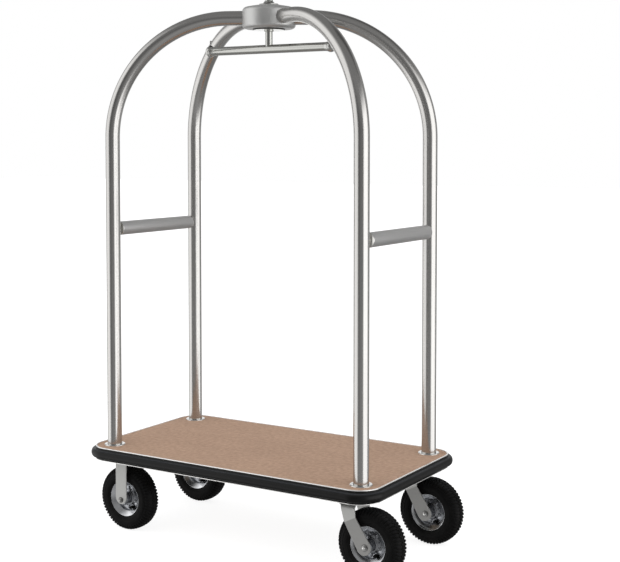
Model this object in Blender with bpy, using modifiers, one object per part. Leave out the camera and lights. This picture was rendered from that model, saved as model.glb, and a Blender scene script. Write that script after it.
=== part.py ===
"""Hotel luggage trolley: a carpeted deck on four air-tyred casters under a birdcage of bent tube.

Metres, +Z up. The floor is z = 0 and the origin lies on it, under the middle of the overall
length. +X is the end with the swivel casters, here called the rear, and -Y is the left side.
"""

import math

import bmesh
import bpy
from mathutils import Vector

# Fit between pieces
FIT_GAP = 0.0003
RUNNING_GAP = 0.0005

# How far a cutter reaches past what it cuts, how near points are welded, and what is shaded smooth
CUT_MARGIN = 0.005
WELD_DISTANCE = 0.00001
SMOOTH_ANGLE = 35.0

# Deck
DECK_LENGTH = 1.130
DECK_WIDTH = 0.612
DECK_CORNER_RADIUS = 0.075
CARPET_THICKNESS = 0.004
BOARD_THICKNESS = 0.018
CORNER_STEPS = 6

# Steel channel round the deck, and the rubber bumper in it
CHANNEL_HEIGHT = 0.046
CHANNEL_WALL = 0.002
CHANNEL_LIP = 0.0025
CHANNEL_DEPTH = 0.010
CHANNEL_ABOVE_CARPET = 0.0015
BUMPER_PROUD = 0.016
BUMPER_NOSE_STEPS = 6

# Cross bearers under the deck
BEARER_END_INSET = 0.100
BEARER_WIDTH = 0.160
BEARER_HEIGHT = 0.0144
BEARER_WALL = 0.003

# Uprights and their arches
UPRIGHT_END_INSET = 0.067
UPRIGHT_SIDE_INSET = 0.071
TUBE_RADIUS = 0.025
TUBE_WALL = 0.0015
ARCH_LEVEL_RUN = 0.1407
ARCH_ABOVE_DECK = 1.488
ARCH_STEPS = 12
TUBE_BEVEL_RESOLUTION = 5
TUBE_SIDES = 4 + 2 * TUBE_BEVEL_RESOLUTION

# Escutcheons round the feet of the uprights
ESCUTCHEON_FLANGE = 0.0115
ESCUTCHEON_HEIGHT = 0.0075
ESCUTCHEON_EDGE = 0.003

# End rails
RAIL_ABOVE_DECK = 0.761
RAIL_UNDERSIZE = 0.001
RAIL_WALL = 0.0015
RAIL_OUTSET = 0.003
RAIL_END_GAP = 0.009
RAIL_STUD_RADIUS = 0.010
RAIL_STUD_BORE = 0.005

# Crown hub
HUB_RADIUS = 0.0915
HUB_ABOVE_TUBES = 0.019
HUB_BELOW_TUBES = 0.0125
HUB_CROWN_RISE = 0.0075
HUB_UPPER_EDGE_RADIUS = 0.016
HUB_LOWER_EDGE_RADIUS = 0.0135
HUB_SEAT_MARGIN = 0.003
SOCKET_DEPTH = 0.030
EDGE_STEPS = 4
HUB_SIDES = 32

# Hub clamp plate, hanger post and finial
CLAMP_PLATE_RADIUS = 0.055
CLAMP_PLATE_THICKNESS = 0.004
POST_RADIUS = 0.0125
SPIGOT_RADIUS = 0.006
SPIGOT_GRIP = 0.012
COLLAR_RADIUS = 0.033
COLLAR_HEIGHT = 0.0185
COLLAR_RIM = 0.002
FINIAL_STEM_RADIUS = 0.0135
FINIAL_STEM_LENGTH = 0.020
FINIAL_BALL_RADIUS = 0.027
COLLAR_STEPS = 4
BALL_STEPS = 7
TURNED_SIDES = 16

# Garment bar
BAR_BELOW_HUB = 0.0685
BAR_HALF_LENGTH = 0.264
BAR_RADIUS = 0.0150
BAR_WALL = 0.0015
CAP_STEP = 0.0045
CAP_FLANGE = 0.005
CAP_DOME = 0.016
CAP_PLUG = 0.014
DOME_STEPS = 4
PEG_BOSS_RADIUS = 0.0075
PEG_BOSS_HEIGHT = 0.0015
PEG_BOSS_CROWN_RADIUS = 0.0045
PEG_BOSS_CROWN = 0.003
PEG_NECK_RADIUS = 0.0022
PEG_NECK_HEIGHT = 0.007
PEG_HEAD_RADIUS = 0.0042
PEG_HEAD_HEIGHT = 0.011
PEG_HEAD_STEPS = 5
PEG_HEAD_LOW_ANGLE = -60.0
PEG_SIDES = 10

# Wheels
WHEEL_RADIUS = 0.1125
WHEEL_SIDES = 24
TYRE_HALF_WIDTH = 0.035
TYRE_TREAD_MARGIN = 0.008
TYRE_SHOULDER = 0.016
TYRE_WALL = 0.007
TYRE_TREAD_THICKNESS = 0.012
TYRE_CAVITY_POINTS = 3
RIM_RADIUS = 0.0620
RIM_LIP_HALF_WIDTH = 0.0295
RIM_LIP_HEIGHT = 0.0105
RIM_WELL_DEPTH = 0.005
RIM_SHEET = 0.003
WEB_THICKNESS = 0.005
HUB_TUBE_RADIUS = 0.0190
HUB_TUBE_SIDE_GAP = 0.0025
BEARING_RADIUS = 0.0130
AXLE_RADIUS = 0.0060
VALVE_WELL_MARGIN = 0.0095
VALVE_ANGLE = -52.0
VALVE_BASE_RADIUS = 0.0055
VALVE_BASE_HEIGHT = 0.004
VALVE_RADIUS = 0.0035
VALVE_LENGTH = 0.019

# Forks and mounting plates
FORK_SIDE_CLEARANCE = 0.009
FORK_SHEET = 0.005
CASTER_PLATE_LENGTH = 0.115
CASTER_PLATE_MARGIN = 0.004
CASTER_PLATE_THICKNESS = 0.005
LEG_ARC_STEPS = 8
RIGID_LEG_HALF_WIDTH = 0.0235
RIGID_LEG_FLARE = 0.012
RIGID_LEG_END_DROP = 0.0145
RIGID_END_INSET = 0.1095
RIGID_SIDE_INSET = 0.100
SWIVEL_END_INSET = 0.113
SWIVEL_SIDE_INSET = 0.097
SWIVEL_TRAIL = 0.0715
SWIVEL_LEG_TOP_HALF_WIDTH = 0.0245
SWIVEL_LEG_END_RADIUS = 0.0255
SWIVEL_LEG_OFFSET = 0.0045
CROWN_ABOVE_TYRE = 0.010
CROWN_HALF_LENGTH = 0.034
RACE_RADIUS = 0.037
RACE_HEIGHT = 0.018
RACE_GROOVE = 0.003
KINGPIN_RADIUS = 0.0070
KINGPIN_HEAD_RADIUS = 0.0115
KINGPIN_HEAD_HEIGHT = 0.006

# Axle bolts
BOLT_HEAD_RADIUS = 0.0105
BOLT_HEAD_HEIGHT = 0.0065
BOLT_TAIL = 0.004
BOLT_SIDES = 12
HEX_SIDES = 6

# Caster sizes, heights and places that follow from the sizes above
AXLE_HEIGHT = WHEEL_RADIUS
TYRE_TREAD_HALF_WIDTH = TYRE_HALF_WIDTH - TYRE_TREAD_MARGIN
RIM_SEAT_RADIUS = RIM_RADIUS - RIM_LIP_HEIGHT
RIM_WELL_RADIUS = RIM_SEAT_RADIUS - RIM_WELL_DEPTH
VALVE_RING_RADIUS = RIM_WELL_RADIUS - VALVE_WELL_MARGIN
FORK_HALF_GAP = TYRE_HALF_WIDTH + FORK_SIDE_CLEARANCE
HUB_TUBE_HALF_LENGTH = FORK_HALF_GAP - HUB_TUBE_SIDE_GAP
CASTER_PLATE_WIDTH = 2 * (FORK_HALF_GAP + FORK_SHEET + CASTER_PLATE_MARGIN)
CROWN_BOTTOM = 2 * WHEEL_RADIUS + CROWN_ABOVE_TYRE
CROWN_TOP = CROWN_BOTTOM + FORK_SHEET
CASTER_PLATE_BOTTOM = CROWN_TOP + RACE_HEIGHT
CASTER_HEIGHT = CASTER_PLATE_BOTTOM + CASTER_PLATE_THICKNESS
RIGID_X = -(DECK_LENGTH / 2 - RIGID_END_INSET)
RIGID_Y = DECK_WIDTH / 2 - RIGID_SIDE_INSET
SWIVEL_X = DECK_LENGTH / 2 - SWIVEL_END_INSET
SWIVEL_Y = DECK_WIDTH / 2 - SWIVEL_SIDE_INSET
SWIVEL_WHEEL_X = SWIVEL_X + SWIVEL_TRAIL

# Deck heights and places that follow, from the casters up
BEARER_CENTRE_X = DECK_LENGTH / 2 - BEARER_END_INSET
BEARER_BOTTOM = CASTER_HEIGHT + FIT_GAP
BEARER_TOP = BEARER_BOTTOM + BEARER_HEIGHT
BOARD_BOTTOM = BEARER_TOP + FIT_GAP
BOARD_TOP = BOARD_BOTTOM + BOARD_THICKNESS
CARPET_TOP = BOARD_TOP + CARPET_THICKNESS
CHANNEL_TOP = CARPET_TOP + CHANNEL_ABOVE_CARPET
CHANNEL_BOTTOM = CHANNEL_TOP - CHANNEL_HEIGHT
CHANNEL_INSET = CHANNEL_DEPTH + CHANNEL_WALL
PANEL_INSET = CHANNEL_INSET + FIT_GAP
ESCUTCHEON_RADIUS = TUBE_RADIUS + ESCUTCHEON_FLANGE

# Tube and hub heights and places that follow
UPRIGHT_X = DECK_LENGTH / 2 - UPRIGHT_END_INSET
UPRIGHT_Y = DECK_WIDTH / 2 - UPRIGHT_SIDE_INSET
UPRIGHT_FOOT = BEARER_BOTTOM + BEARER_WALL + FIT_GAP
UPRIGHT_REACH = math.hypot(UPRIGHT_X, UPRIGHT_Y)
ARCH_AXIS_HEIGHT = CARPET_TOP + ARCH_ABOVE_DECK
ARCH_RADIUS = UPRIGHT_REACH - ARCH_LEVEL_RUN
ARCH_SPRING = ARCH_AXIS_HEIGHT - ARCH_RADIUS
RAIL_HEIGHT = CARPET_TOP + RAIL_ABOVE_DECK
RAIL_RADIUS = TUBE_RADIUS - RAIL_UNDERSIZE
RAIL_HALF_LENGTH = UPRIGHT_Y - TUBE_RADIUS - RAIL_END_GAP
HUB_TOP = ARCH_AXIS_HEIGHT + TUBE_RADIUS + HUB_ABOVE_TUBES
HUB_BOTTOM = ARCH_AXIS_HEIGHT - TUBE_RADIUS - HUB_BELOW_TUBES
SOCKET_BOTTOM = HUB_RADIUS - SOCKET_DEPTH
CLAMP_PLATE_TOP = HUB_BOTTOM - FIT_GAP
CLAMP_PLATE_BOTTOM = CLAMP_PLATE_TOP - CLAMP_PLATE_THICKNESS
POST_TOP = CLAMP_PLATE_BOTTOM - FIT_GAP
COLLAR_BOTTOM = HUB_TOP + FIT_GAP
FINIAL_BOTTOM = COLLAR_BOTTOM + COLLAR_HEIGHT + FIT_GAP
SPIGOT_TOP = FINIAL_BOTTOM + SPIGOT_GRIP
BAR_HEIGHT = HUB_BOTTOM - BAR_BELOW_HUB
CAP_RADIUS = BAR_RADIUS + CAP_STEP
BAR_TUBE_HALF_LENGTH = BAR_HALF_LENGTH - CAP_DOME - CAP_FLANGE - FIT_GAP
PEG_X = BAR_TUBE_HALF_LENGTH + FIT_GAP + CAP_FLANGE / 2

# The deck's middle stands this far along X, so that the overall length is centred on the origin
FRONT_END = -(DECK_LENGTH / 2 + BUMPER_PROUD)
REAR_END = max(-FRONT_END, SWIVEL_WHEEL_X + WHEEL_RADIUS)
DECK_CENTRE_X = -(FRONT_END + REAR_END) / 2

SIDES = {"left": -1, "right": 1}
ENDS = {"front": -1, "rear": 1}


def clear_scene():
    """Remove every object of the opening scene."""
    for item in list(bpy.data.objects):
        bpy.data.objects.remove(item, do_unlink=True)


def new_collection(name):
    """Add a collection to the scene and return it."""
    group = bpy.data.collections.new(name)
    bpy.context.scene.collection.children.link(group)
    return group


def new_material(name, colour, roughness, metallic):
    """Return a Principled material of one colour."""
    material = bpy.data.materials.new(name)
    material.use_nodes = True
    shader = material.node_tree.nodes["Principled BSDF"]
    shader.inputs["Base Color"].default_value = (*colour, 1.0)
    shader.inputs["Roughness"].default_value = roughness
    shader.inputs["Metallic"].default_value = metallic
    return material


clear_scene()
TROLLEY = new_collection("luggage_trolley")
CUTTERS = new_collection("cutters_and_guides")

BRUSHED_STEEL = new_material("brushed_steel", (0.62, 0.61, 0.59), 0.32, 1.0)
BRIGHT_STEEL = new_material("bright_steel", (0.80, 0.80, 0.79), 0.18, 1.0)
SATIN_CASTING = new_material("satin_casting", (0.50, 0.50, 0.49), 0.42, 1.0)
DARK_STEEL = new_material("dark_steel", (0.10, 0.09, 0.09), 0.45, 0.8)
ZINC_SHEET = new_material("zinc_sheet", (0.55, 0.55, 0.53), 0.45, 0.7)
RIM_STEEL = new_material("rim_steel", (0.60, 0.61, 0.63), 0.30, 1.0)
CARPET_PILE = new_material("carpet_pile", (0.42, 0.28, 0.20), 0.95, 0.0)
PLYWOOD = new_material("plywood", (0.46, 0.33, 0.20), 0.70, 0.0)
BLACK_PAINT = new_material("black_paint", (0.03, 0.03, 0.03), 0.45, 0.0)
BUMPER_RUBBER = new_material("bumper_rubber", (0.012, 0.012, 0.012), 0.38, 0.0)
TYRE_RUBBER = new_material("tyre_rubber", (0.010, 0.010, 0.010), 0.70, 0.0)


def add_empty(name, location, parent=None, rotation=(0.0, 0.0, 0.0)):
    """Add an empty that carries pieces, at a place in its parent's space."""
    empty = bpy.data.objects.new(name, None)
    empty.location = location
    empty.rotation_euler = rotation
    empty.parent = parent
    TROLLEY.objects.link(empty)
    return empty


def add_piece(name, data, material, location, parent, rotation=(0.0, 0.0, 0.0)):
    """Place a mesh or curve as one piece of the trolley."""
    piece = bpy.data.objects.new(name, data)
    piece.location = location
    piece.rotation_euler = rotation
    piece.parent = parent
    data.materials.append(material)
    TROLLEY.objects.link(piece)
    return piece


def add_helper(name, data, location, parent, rotation=(0.0, 0.0, 0.0)):
    """Place a mesh that only cuts or joins, or a curve that only guides."""
    helper = bpy.data.objects.new(name, data)
    helper.location = location
    helper.rotation_euler = rotation
    helper.parent = parent
    helper.hide_render = True
    helper.display_type = "WIRE"
    CUTTERS.objects.link(helper)
    return helper


def combine(piece, helper, operation):
    """Cut a helper from a piece, or join it on."""
    modifier = piece.modifiers.new(helper.name, "BOOLEAN")
    modifier.operation = operation
    modifier.object = helper


def shade_round(mesh):
    """Shade a mesh smooth, with its sharper edges kept."""
    mesh.shade_smooth()
    mesh.set_sharp_from_angle(angle=math.radians(SMOOTH_ANGLE))


def across_flats(radius, sides):
    """Return the corner radius of a regular polygon whose flats lie at a radius."""
    return radius / math.cos(math.pi / sides)


def arc_points(centre, radii, start, end, steps):
    """Return the points of an elliptic arc in a plane, from start to end in degrees."""
    angles = [math.radians(start + (end - start) * i / steps) for i in range(steps + 1)]
    return [
        (centre[0] + radii[0] * math.cos(angle), centre[1] + radii[1] * math.sin(angle))
        for angle in angles
    ]


def box_mesh(name, size, centre=(0.0, 0.0, 0.0)):
    """Return a box of a size, about a centre."""
    mesh = bpy.data.meshes.new(name)
    shape = bmesh.new()
    bmesh.ops.create_cube(shape, size=1.0)
    bmesh.ops.scale(shape, vec=Vector(size), verts=shape.verts)
    bmesh.ops.translate(shape, vec=Vector(centre), verts=shape.verts)
    shape.to_mesh(mesh)
    shape.free()
    return mesh


def cylinder_mesh(name, radius, bottom, top, sides):
    """Return an upright cylinder whose corners lie at a radius."""
    mesh = bpy.data.meshes.new(name)
    shape = bmesh.new()
    bmesh.ops.create_cone(
        shape, cap_ends=True, segments=sides, radius1=radius, radius2=radius, depth=top - bottom
    )
    bmesh.ops.translate(shape, vec=(0, 0, (top + bottom) / 2), verts=shape.verts)
    shape.to_mesh(mesh)
    shape.free()
    return mesh


def profile_mesh(name, profile, closed):
    """Return a mesh of edges along a profile of radius and height."""
    mesh = bpy.data.meshes.new(name)
    shape = bmesh.new()
    points = [shape.verts.new((radius, 0.0, height)) for radius, height in profile]
    for first, second in zip(points, points[1:]):
        shape.edges.new((first, second))
    if closed:
        shape.edges.new((points[-1], points[0]))
    shape.to_mesh(mesh)
    shape.free()
    return mesh


def turned_mesh(name, profile, sides, turn=0.0):
    """Return a turned solid: its profile runs down the outer side, then up the bore if it has one."""
    closed = profile[0][0] > 0.0
    guide = bpy.data.objects.new(name, profile_mesh(name, profile, closed))
    bpy.context.scene.collection.objects.link(guide)
    guide.rotation_euler.z = turn
    screw = guide.modifiers.new("turn", "SCREW")
    screw.steps = sides
    screw.render_steps = sides
    screw.use_merge_vertices = True
    screw.merge_threshold = WELD_DISTANCE
    mesh = evaluated_mesh(guide, name)
    mesh.transform(guide.matrix_world)
    bpy.data.objects.remove(guide, do_unlink=True)
    shade_round(mesh)
    return mesh


def evaluated_mesh(source, name):
    """Return the welded mesh that an object's curve and modifiers make."""
    bpy.context.view_layer.update()
    graph = bpy.context.evaluated_depsgraph_get()
    mesh = bpy.data.meshes.new_from_object(source.evaluated_get(graph))
    mesh.name = name
    shape = bmesh.new()
    shape.from_mesh(mesh)
    bmesh.ops.remove_doubles(shape, verts=shape.verts, dist=WELD_DISTANCE)
    shape.to_mesh(mesh)
    shape.free()
    return mesh


def poly_curve(name, points, cyclic, dimensions):
    """Return curve data with one straight-sided spline through points."""
    curve = bpy.data.curves.new(name, "CURVE")
    curve.dimensions = dimensions
    spline = curve.splines.new("POLY")
    spline.points.add(len(points) - 1)
    for target, point in zip(spline.points, points):
        target.co = (*Vector(point).to_3d(), 1.0)
    spline.use_cyclic_u = cyclic
    return curve


def curve_mesh(name, curve):
    """Return the welded mesh of curve data."""
    guide = bpy.data.objects.new(name, curve)
    bpy.context.scene.collection.objects.link(guide)
    mesh = evaluated_mesh(guide, name)
    bpy.data.objects.remove(guide, do_unlink=True)
    return mesh


def slab_mesh(name, outline, thickness):
    """Return a flat outline thickened evenly about its plane."""
    curve = poly_curve(name, outline, True, "2D")
    curve.fill_mode = "BOTH"
    curve.extrude = thickness / 2
    return curve_mesh(name, curve)


def tube_mesh(name, points, radius):
    """Return the open wall of a round tube along points."""
    curve = poly_curve(name, points, False, "3D")
    curve.fill_mode = "FULL"
    curve.bevel_depth = radius
    curve.bevel_resolution = TUBE_BEVEL_RESOLUTION
    curve.twist_mode = "MINIMUM"
    mesh = curve_mesh(name, curve)
    shade_round(mesh)
    return mesh


def add_tube(name, points, radius, wall, location, parent, rotation=(0.0, 0.0, 0.0)):
    """Add a hollow tube along points, with open ends."""
    mesh = tube_mesh(name, points, radius)
    tube = add_piece(name, mesh, BRUSHED_STEEL, location, parent, rotation)
    solidify = tube.modifiers.new("wall", "SOLIDIFY")
    solidify.thickness = wall
    solidify.offset = -1.0
    return tube


def rounded_rectangle(length, width, radius, steps):
    """Return the outline of a rectangle with round corners, turning left."""
    outline = []
    for side_x, side_y, start in ((1, 1, 0), (-1, 1, 90), (-1, -1, 180), (1, -1, 270)):
        centre = (side_x * (length / 2 - radius), side_y * (width / 2 - radius))
        outline += arc_points(centre, (radius, radius), start, start + 90, steps)
    return outline


def deck_outline(inset):
    """Return the deck's outline, an inset inside the channel's lips."""
    return rounded_rectangle(
        DECK_LENGTH - 2 * inset, DECK_WIDTH - 2 * inset, DECK_CORNER_RADIUS - inset, CORNER_STEPS
    )


def swept_edge_mesh(name, profile):
    """Return a section swept round the deck: outward from the lips' edge and up, clockwise."""
    path = poly_curve(name, deck_outline(0.0), True, "3D")
    section = add_helper(name + "_section", poly_curve(name, profile, True, "2D"), (0, 0, 0), None)
    path.twist_mode = "Z_UP"
    path.bevel_mode = "OBJECT"
    path.bevel_object = section
    mesh = curve_mesh(name, path)
    shade_round(mesh)
    return mesh


def upright_places():
    """Yield the name, X and Y of each upright."""
    for end, end_sign in ENDS.items():
        for side, side_sign in SIDES.items():
            yield end + "_" + side, end_sign * UPRIGHT_X, side_sign * UPRIGHT_Y


def cut_at_uprights(piece, label, radius, parent):
    """Cut a round hole through a flat piece at every upright."""
    for place, x, y in upright_places():
        mesh = cylinder_mesh(
            label, across_flats(radius, TUBE_SIDES), BOARD_BOTTOM - CUT_MARGIN,
            CARPET_TOP + CUT_MARGIN, TUBE_SIDES,
        )
        cutter = add_helper(label + "_" + place, mesh, (x, y, 0.0), parent)
        combine(piece, cutter, "DIFFERENCE")


def add_panel(name, material, bottom, top, hole_radius, parent):
    """Add one of the deck's two layers, with holes for what stands through it."""
    mesh = slab_mesh(name, deck_outline(PANEL_INSET), top - bottom)
    panel = add_piece(name, mesh, material, (0.0, 0.0, (top + bottom) / 2), parent)
    cut_at_uprights(panel, name + "_hole", hole_radius, parent)


def channel_profile():
    """Return the section of the steel channel, open outwards."""
    web_back = -CHANNEL_INSET
    web_face = -CHANNEL_DEPTH
    return [
        (web_back, CHANNEL_BOTTOM),
        (web_back, CHANNEL_TOP),
        (0.0, CHANNEL_TOP),
        (0.0, CHANNEL_TOP - CHANNEL_LIP),
        (web_face, CHANNEL_TOP - CHANNEL_LIP),
        (web_face, CHANNEL_BOTTOM + CHANNEL_LIP),
        (0.0, CHANNEL_BOTTOM + CHANNEL_LIP),
        (0.0, CHANNEL_BOTTOM),
    ]


def bumper_profile():
    """Return the section of the rubber bumper, with a round nose."""
    back = -CHANNEL_DEPTH + FIT_GAP
    bottom = CHANNEL_BOTTOM + CHANNEL_LIP + FIT_GAP
    top = CHANNEL_TOP - CHANNEL_LIP - FIT_GAP
    middle = (top + bottom) / 2
    nose = arc_points((0.0, middle), (BUMPER_PROUD, (top - bottom) / 2), 90, -90, BUMPER_NOSE_STEPS)
    return [(back, bottom), (back, top), *nose]


def bearer_outline():
    """Return the section of a cross bearer, a shallow tray open upwards."""
    half = BEARER_WIDTH / 2
    height = BEARER_TOP - BEARER_BOTTOM
    return [
        (-half, 0.0),
        (half, 0.0),
        (half, height),
        (half - BEARER_WALL, height),
        (half - BEARER_WALL, BEARER_WALL),
        (-half + BEARER_WALL, BEARER_WALL),
        (-half + BEARER_WALL, height),
        (-half, height),
    ]


def build_deck(root):
    """Build the board, carpet, edge channel, bumper and cross bearers."""
    add_panel("deck_board", PLYWOOD, BOARD_BOTTOM, BOARD_TOP, TUBE_RADIUS + FIT_GAP, root)
    add_panel(
        "deck_carpet", CARPET_PILE, BOARD_TOP + FIT_GAP, CARPET_TOP,
        ESCUTCHEON_RADIUS + FIT_GAP, root,
    )
    channel = swept_edge_mesh("edge_channel", channel_profile())
    add_piece("edge_channel", channel, BRIGHT_STEEL, (0, 0, 0), root)
    bumper = swept_edge_mesh("bumper", bumper_profile())
    add_piece("bumper", bumper, BUMPER_RUBBER, (0, 0, 0), root)
    trim_mesh = slab_mesh("bearer_trim", deck_outline(PANEL_INSET), 2 * CARPET_TOP)
    trim = add_helper("bearer_trim", trim_mesh, (0, 0, 0), root)
    for end, sign in ENDS.items():
        mesh = slab_mesh("caster_bearer", bearer_outline(), DECK_WIDTH)
        place = (sign * BEARER_CENTRE_X, 0.0, BEARER_BOTTOM)
        upright_section = (math.pi / 2, 0.0, 0.0)
        bearer = add_piece(
            "caster_bearer_" + end, mesh, BLACK_PAINT, place, root, upright_section
        )
        combine(bearer, trim, "INTERSECT")


def upright_path():
    """Return an upright's centre line: up, round the arch and in to the hub, X towards the hub."""
    arch = arc_points((ARCH_RADIUS, ARCH_SPRING), (ARCH_RADIUS, ARCH_RADIUS), 180, 90, ARCH_STEPS)
    hub_end = UPRIGHT_REACH - SOCKET_BOTTOM - FIT_GAP
    route = [(0.0, UPRIGHT_FOOT), *arch, (hub_end, ARCH_AXIS_HEIGHT)]
    return [(reach, 0.0, height) for reach, height in route]


def build_uprights(root):
    """Build the four bent uprights and the escutcheons at their feet."""
    ring = [
        (ESCUTCHEON_RADIUS - ESCUTCHEON_EDGE, ESCUTCHEON_HEIGHT),
        (ESCUTCHEON_RADIUS, ESCUTCHEON_HEIGHT - ESCUTCHEON_EDGE),
        (ESCUTCHEON_RADIUS, 0.0),
        (across_flats(TUBE_RADIUS + FIT_GAP, TURNED_SIDES), 0.0),
        (across_flats(TUBE_RADIUS + FIT_GAP, TURNED_SIDES), ESCUTCHEON_HEIGHT),
    ]
    for place, x, y in upright_places():
        inward = math.atan2(-y, -x)
        add_tube(
            "upright_" + place, upright_path(), TUBE_RADIUS, TUBE_WALL, (x, y, 0.0), root,
            (0.0, 0.0, inward),
        )
        mesh = turned_mesh("escutcheon", ring, TURNED_SIDES)
        seat = (x, y, BOARD_TOP + FIT_GAP)
        add_piece("escutcheon_" + place, mesh, BRIGHT_STEEL, seat, root)


def rail_profile():
    """Return an end rail's section: a tube with flat closed ends, and a hollow stud on each."""
    inner_end = RAIL_HALF_LENGTH - RAIL_WALL
    outer = [
        (RAIL_STUD_RADIUS, UPRIGHT_Y),
        (RAIL_STUD_RADIUS, RAIL_HALF_LENGTH),
        (RAIL_RADIUS, RAIL_HALF_LENGTH),
    ]
    bore = [
        (RAIL_STUD_BORE, UPRIGHT_Y),
        (RAIL_STUD_BORE, inner_end),
        (RAIL_RADIUS - RAIL_WALL, inner_end),
    ]
    outer_below = [(radius, -along) for radius, along in reversed(outer)]
    bore_below = [(radius, -along) for radius, along in bore]
    return [*outer, *outer_below, *bore_below, *reversed(bore)]


def build_end_rails(root):
    """Build the two end rails on studs that are coped to the uprights."""
    cope_radius = across_flats(TUBE_RADIUS + FIT_GAP, TUBE_SIDES)
    reach = RAIL_STUD_RADIUS + CUT_MARGIN
    across = (math.pi / 2, 0.0, 0.0)
    for end, end_sign in ENDS.items():
        place = (end_sign * (UPRIGHT_X + RAIL_OUTSET), 0.0, RAIL_HEIGHT)
        mesh = turned_mesh("end_rail", rail_profile(), TUBE_SIDES)
        rail = add_piece("end_rail_" + end, mesh, BRUSHED_STEEL, place, root, across)
        for side, side_sign in SIDES.items():
            label = "cope_" + end + "_" + side
            mesh = cylinder_mesh(label, cope_radius, -reach, reach, TUBE_SIDES)
            upright = (end_sign * UPRIGHT_X, side_sign * UPRIGHT_Y, RAIL_HEIGHT)
            combine(rail, add_helper(label, mesh, upright, root), "DIFFERENCE")


def hub_profile():
    """Return the hub's section: a drum with soft edges, flat below and gently crowned above."""
    high = HUB_UPPER_EDGE_RADIUS
    low = HUB_LOWER_EDGE_RADIUS
    shoulder = HUB_TOP - HUB_CROWN_RISE
    upper = arc_points((HUB_RADIUS - high, shoulder - high), (high, high), 90, 0, EDGE_STEPS)
    lower = arc_points((HUB_RADIUS - low, HUB_BOTTOM + low), (low, low), 0, -90, EDGE_STEPS)
    seat = COLLAR_RADIUS + HUB_SEAT_MARGIN
    return [(0.0, HUB_TOP), (seat, HUB_TOP), *upper, *lower, (0.0, HUB_BOTTOM)]


def build_hub(root):
    """Build the crown hub with its four sockets, and the clamp plate beneath it."""
    body = turned_mesh("crown_hub", hub_profile(), HUB_SIDES)
    hub = add_piece("crown_hub", body, SATIN_CASTING, (0, 0, 0), root)
    socket_radius = across_flats(TUBE_RADIUS + FIT_GAP, TUBE_SIDES)
    centre = (0.0, 0.0, ARCH_AXIS_HEIGHT)
    for place, x, y in upright_places():
        along_tube = (0.0, math.pi / 2, math.atan2(y, x))
        mesh = cylinder_mesh(
            "hub_socket", socket_radius, SOCKET_BOTTOM, HUB_RADIUS + CUT_MARGIN, TUBE_SIDES
        )
        socket = add_helper("hub_socket_" + place, mesh, centre, root, along_tube)
        combine(hub, socket, "DIFFERENCE")
    bore_radius = across_flats(SPIGOT_RADIUS + FIT_GAP, BOLT_SIDES)
    bore = cylinder_mesh(
        "hub_bore", bore_radius, HUB_BOTTOM - CUT_MARGIN, HUB_TOP + CUT_MARGIN, BOLT_SIDES
    )
    combine(hub, add_helper("hub_bore", bore, (0, 0, 0), root), "DIFFERENCE")
    plate = [
        (CLAMP_PLATE_RADIUS, CLAMP_PLATE_TOP),
        (CLAMP_PLATE_RADIUS, CLAMP_PLATE_BOTTOM),
        (bore_radius, CLAMP_PLATE_BOTTOM),
        (bore_radius, CLAMP_PLATE_TOP),
    ]
    add_piece(
        "hub_clamp_plate", turned_mesh("hub_clamp_plate", plate, HUB_SIDES), DARK_STEEL,
        (0, 0, 0), root,
    )


def build_finial(root):
    """Build the flared collar on the hub and the ball finial above it."""
    bore_radius = across_flats(SPIGOT_RADIUS + FIT_GAP, TURNED_SIDES)
    flare = arc_points(
        (COLLAR_RADIUS, COLLAR_BOTTOM + COLLAR_HEIGHT),
        (COLLAR_RADIUS - FINIAL_STEM_RADIUS, COLLAR_HEIGHT - COLLAR_RIM),
        180, 270, COLLAR_STEPS,
    )
    collar = [
        *flare,
        (COLLAR_RADIUS, COLLAR_BOTTOM),
        (bore_radius, COLLAR_BOTTOM),
        (bore_radius, COLLAR_BOTTOM + COLLAR_HEIGHT),
    ]
    add_piece(
        "finial_collar", turned_mesh("finial_collar", collar, TURNED_SIDES), BRUSHED_STEEL,
        (0, 0, 0), root,
    )
    neck_angle = math.degrees(math.acos(FINIAL_STEM_RADIUS / FINIAL_BALL_RADIUS))
    ball_centre = (
        FINIAL_BOTTOM + FINIAL_STEM_LENGTH
        + FINIAL_BALL_RADIUS * math.sin(math.radians(neck_angle))
    )
    ball = arc_points(
        (0.0, ball_centre), (FINIAL_BALL_RADIUS, FINIAL_BALL_RADIUS), 90, -neck_angle, BALL_STEPS
    )
    finial = [
        (0.0, ball_centre + FINIAL_BALL_RADIUS),
        *ball[1:],
        (FINIAL_STEM_RADIUS, FINIAL_BOTTOM),
        (bore_radius, FINIAL_BOTTOM),
        (bore_radius, SPIGOT_TOP + FIT_GAP),
        (0.0, SPIGOT_TOP + FIT_GAP),
    ]
    add_piece(
        "finial", turned_mesh("finial", finial, TURNED_SIDES), BRUSHED_STEEL, (0, 0, 0), root
    )


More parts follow.
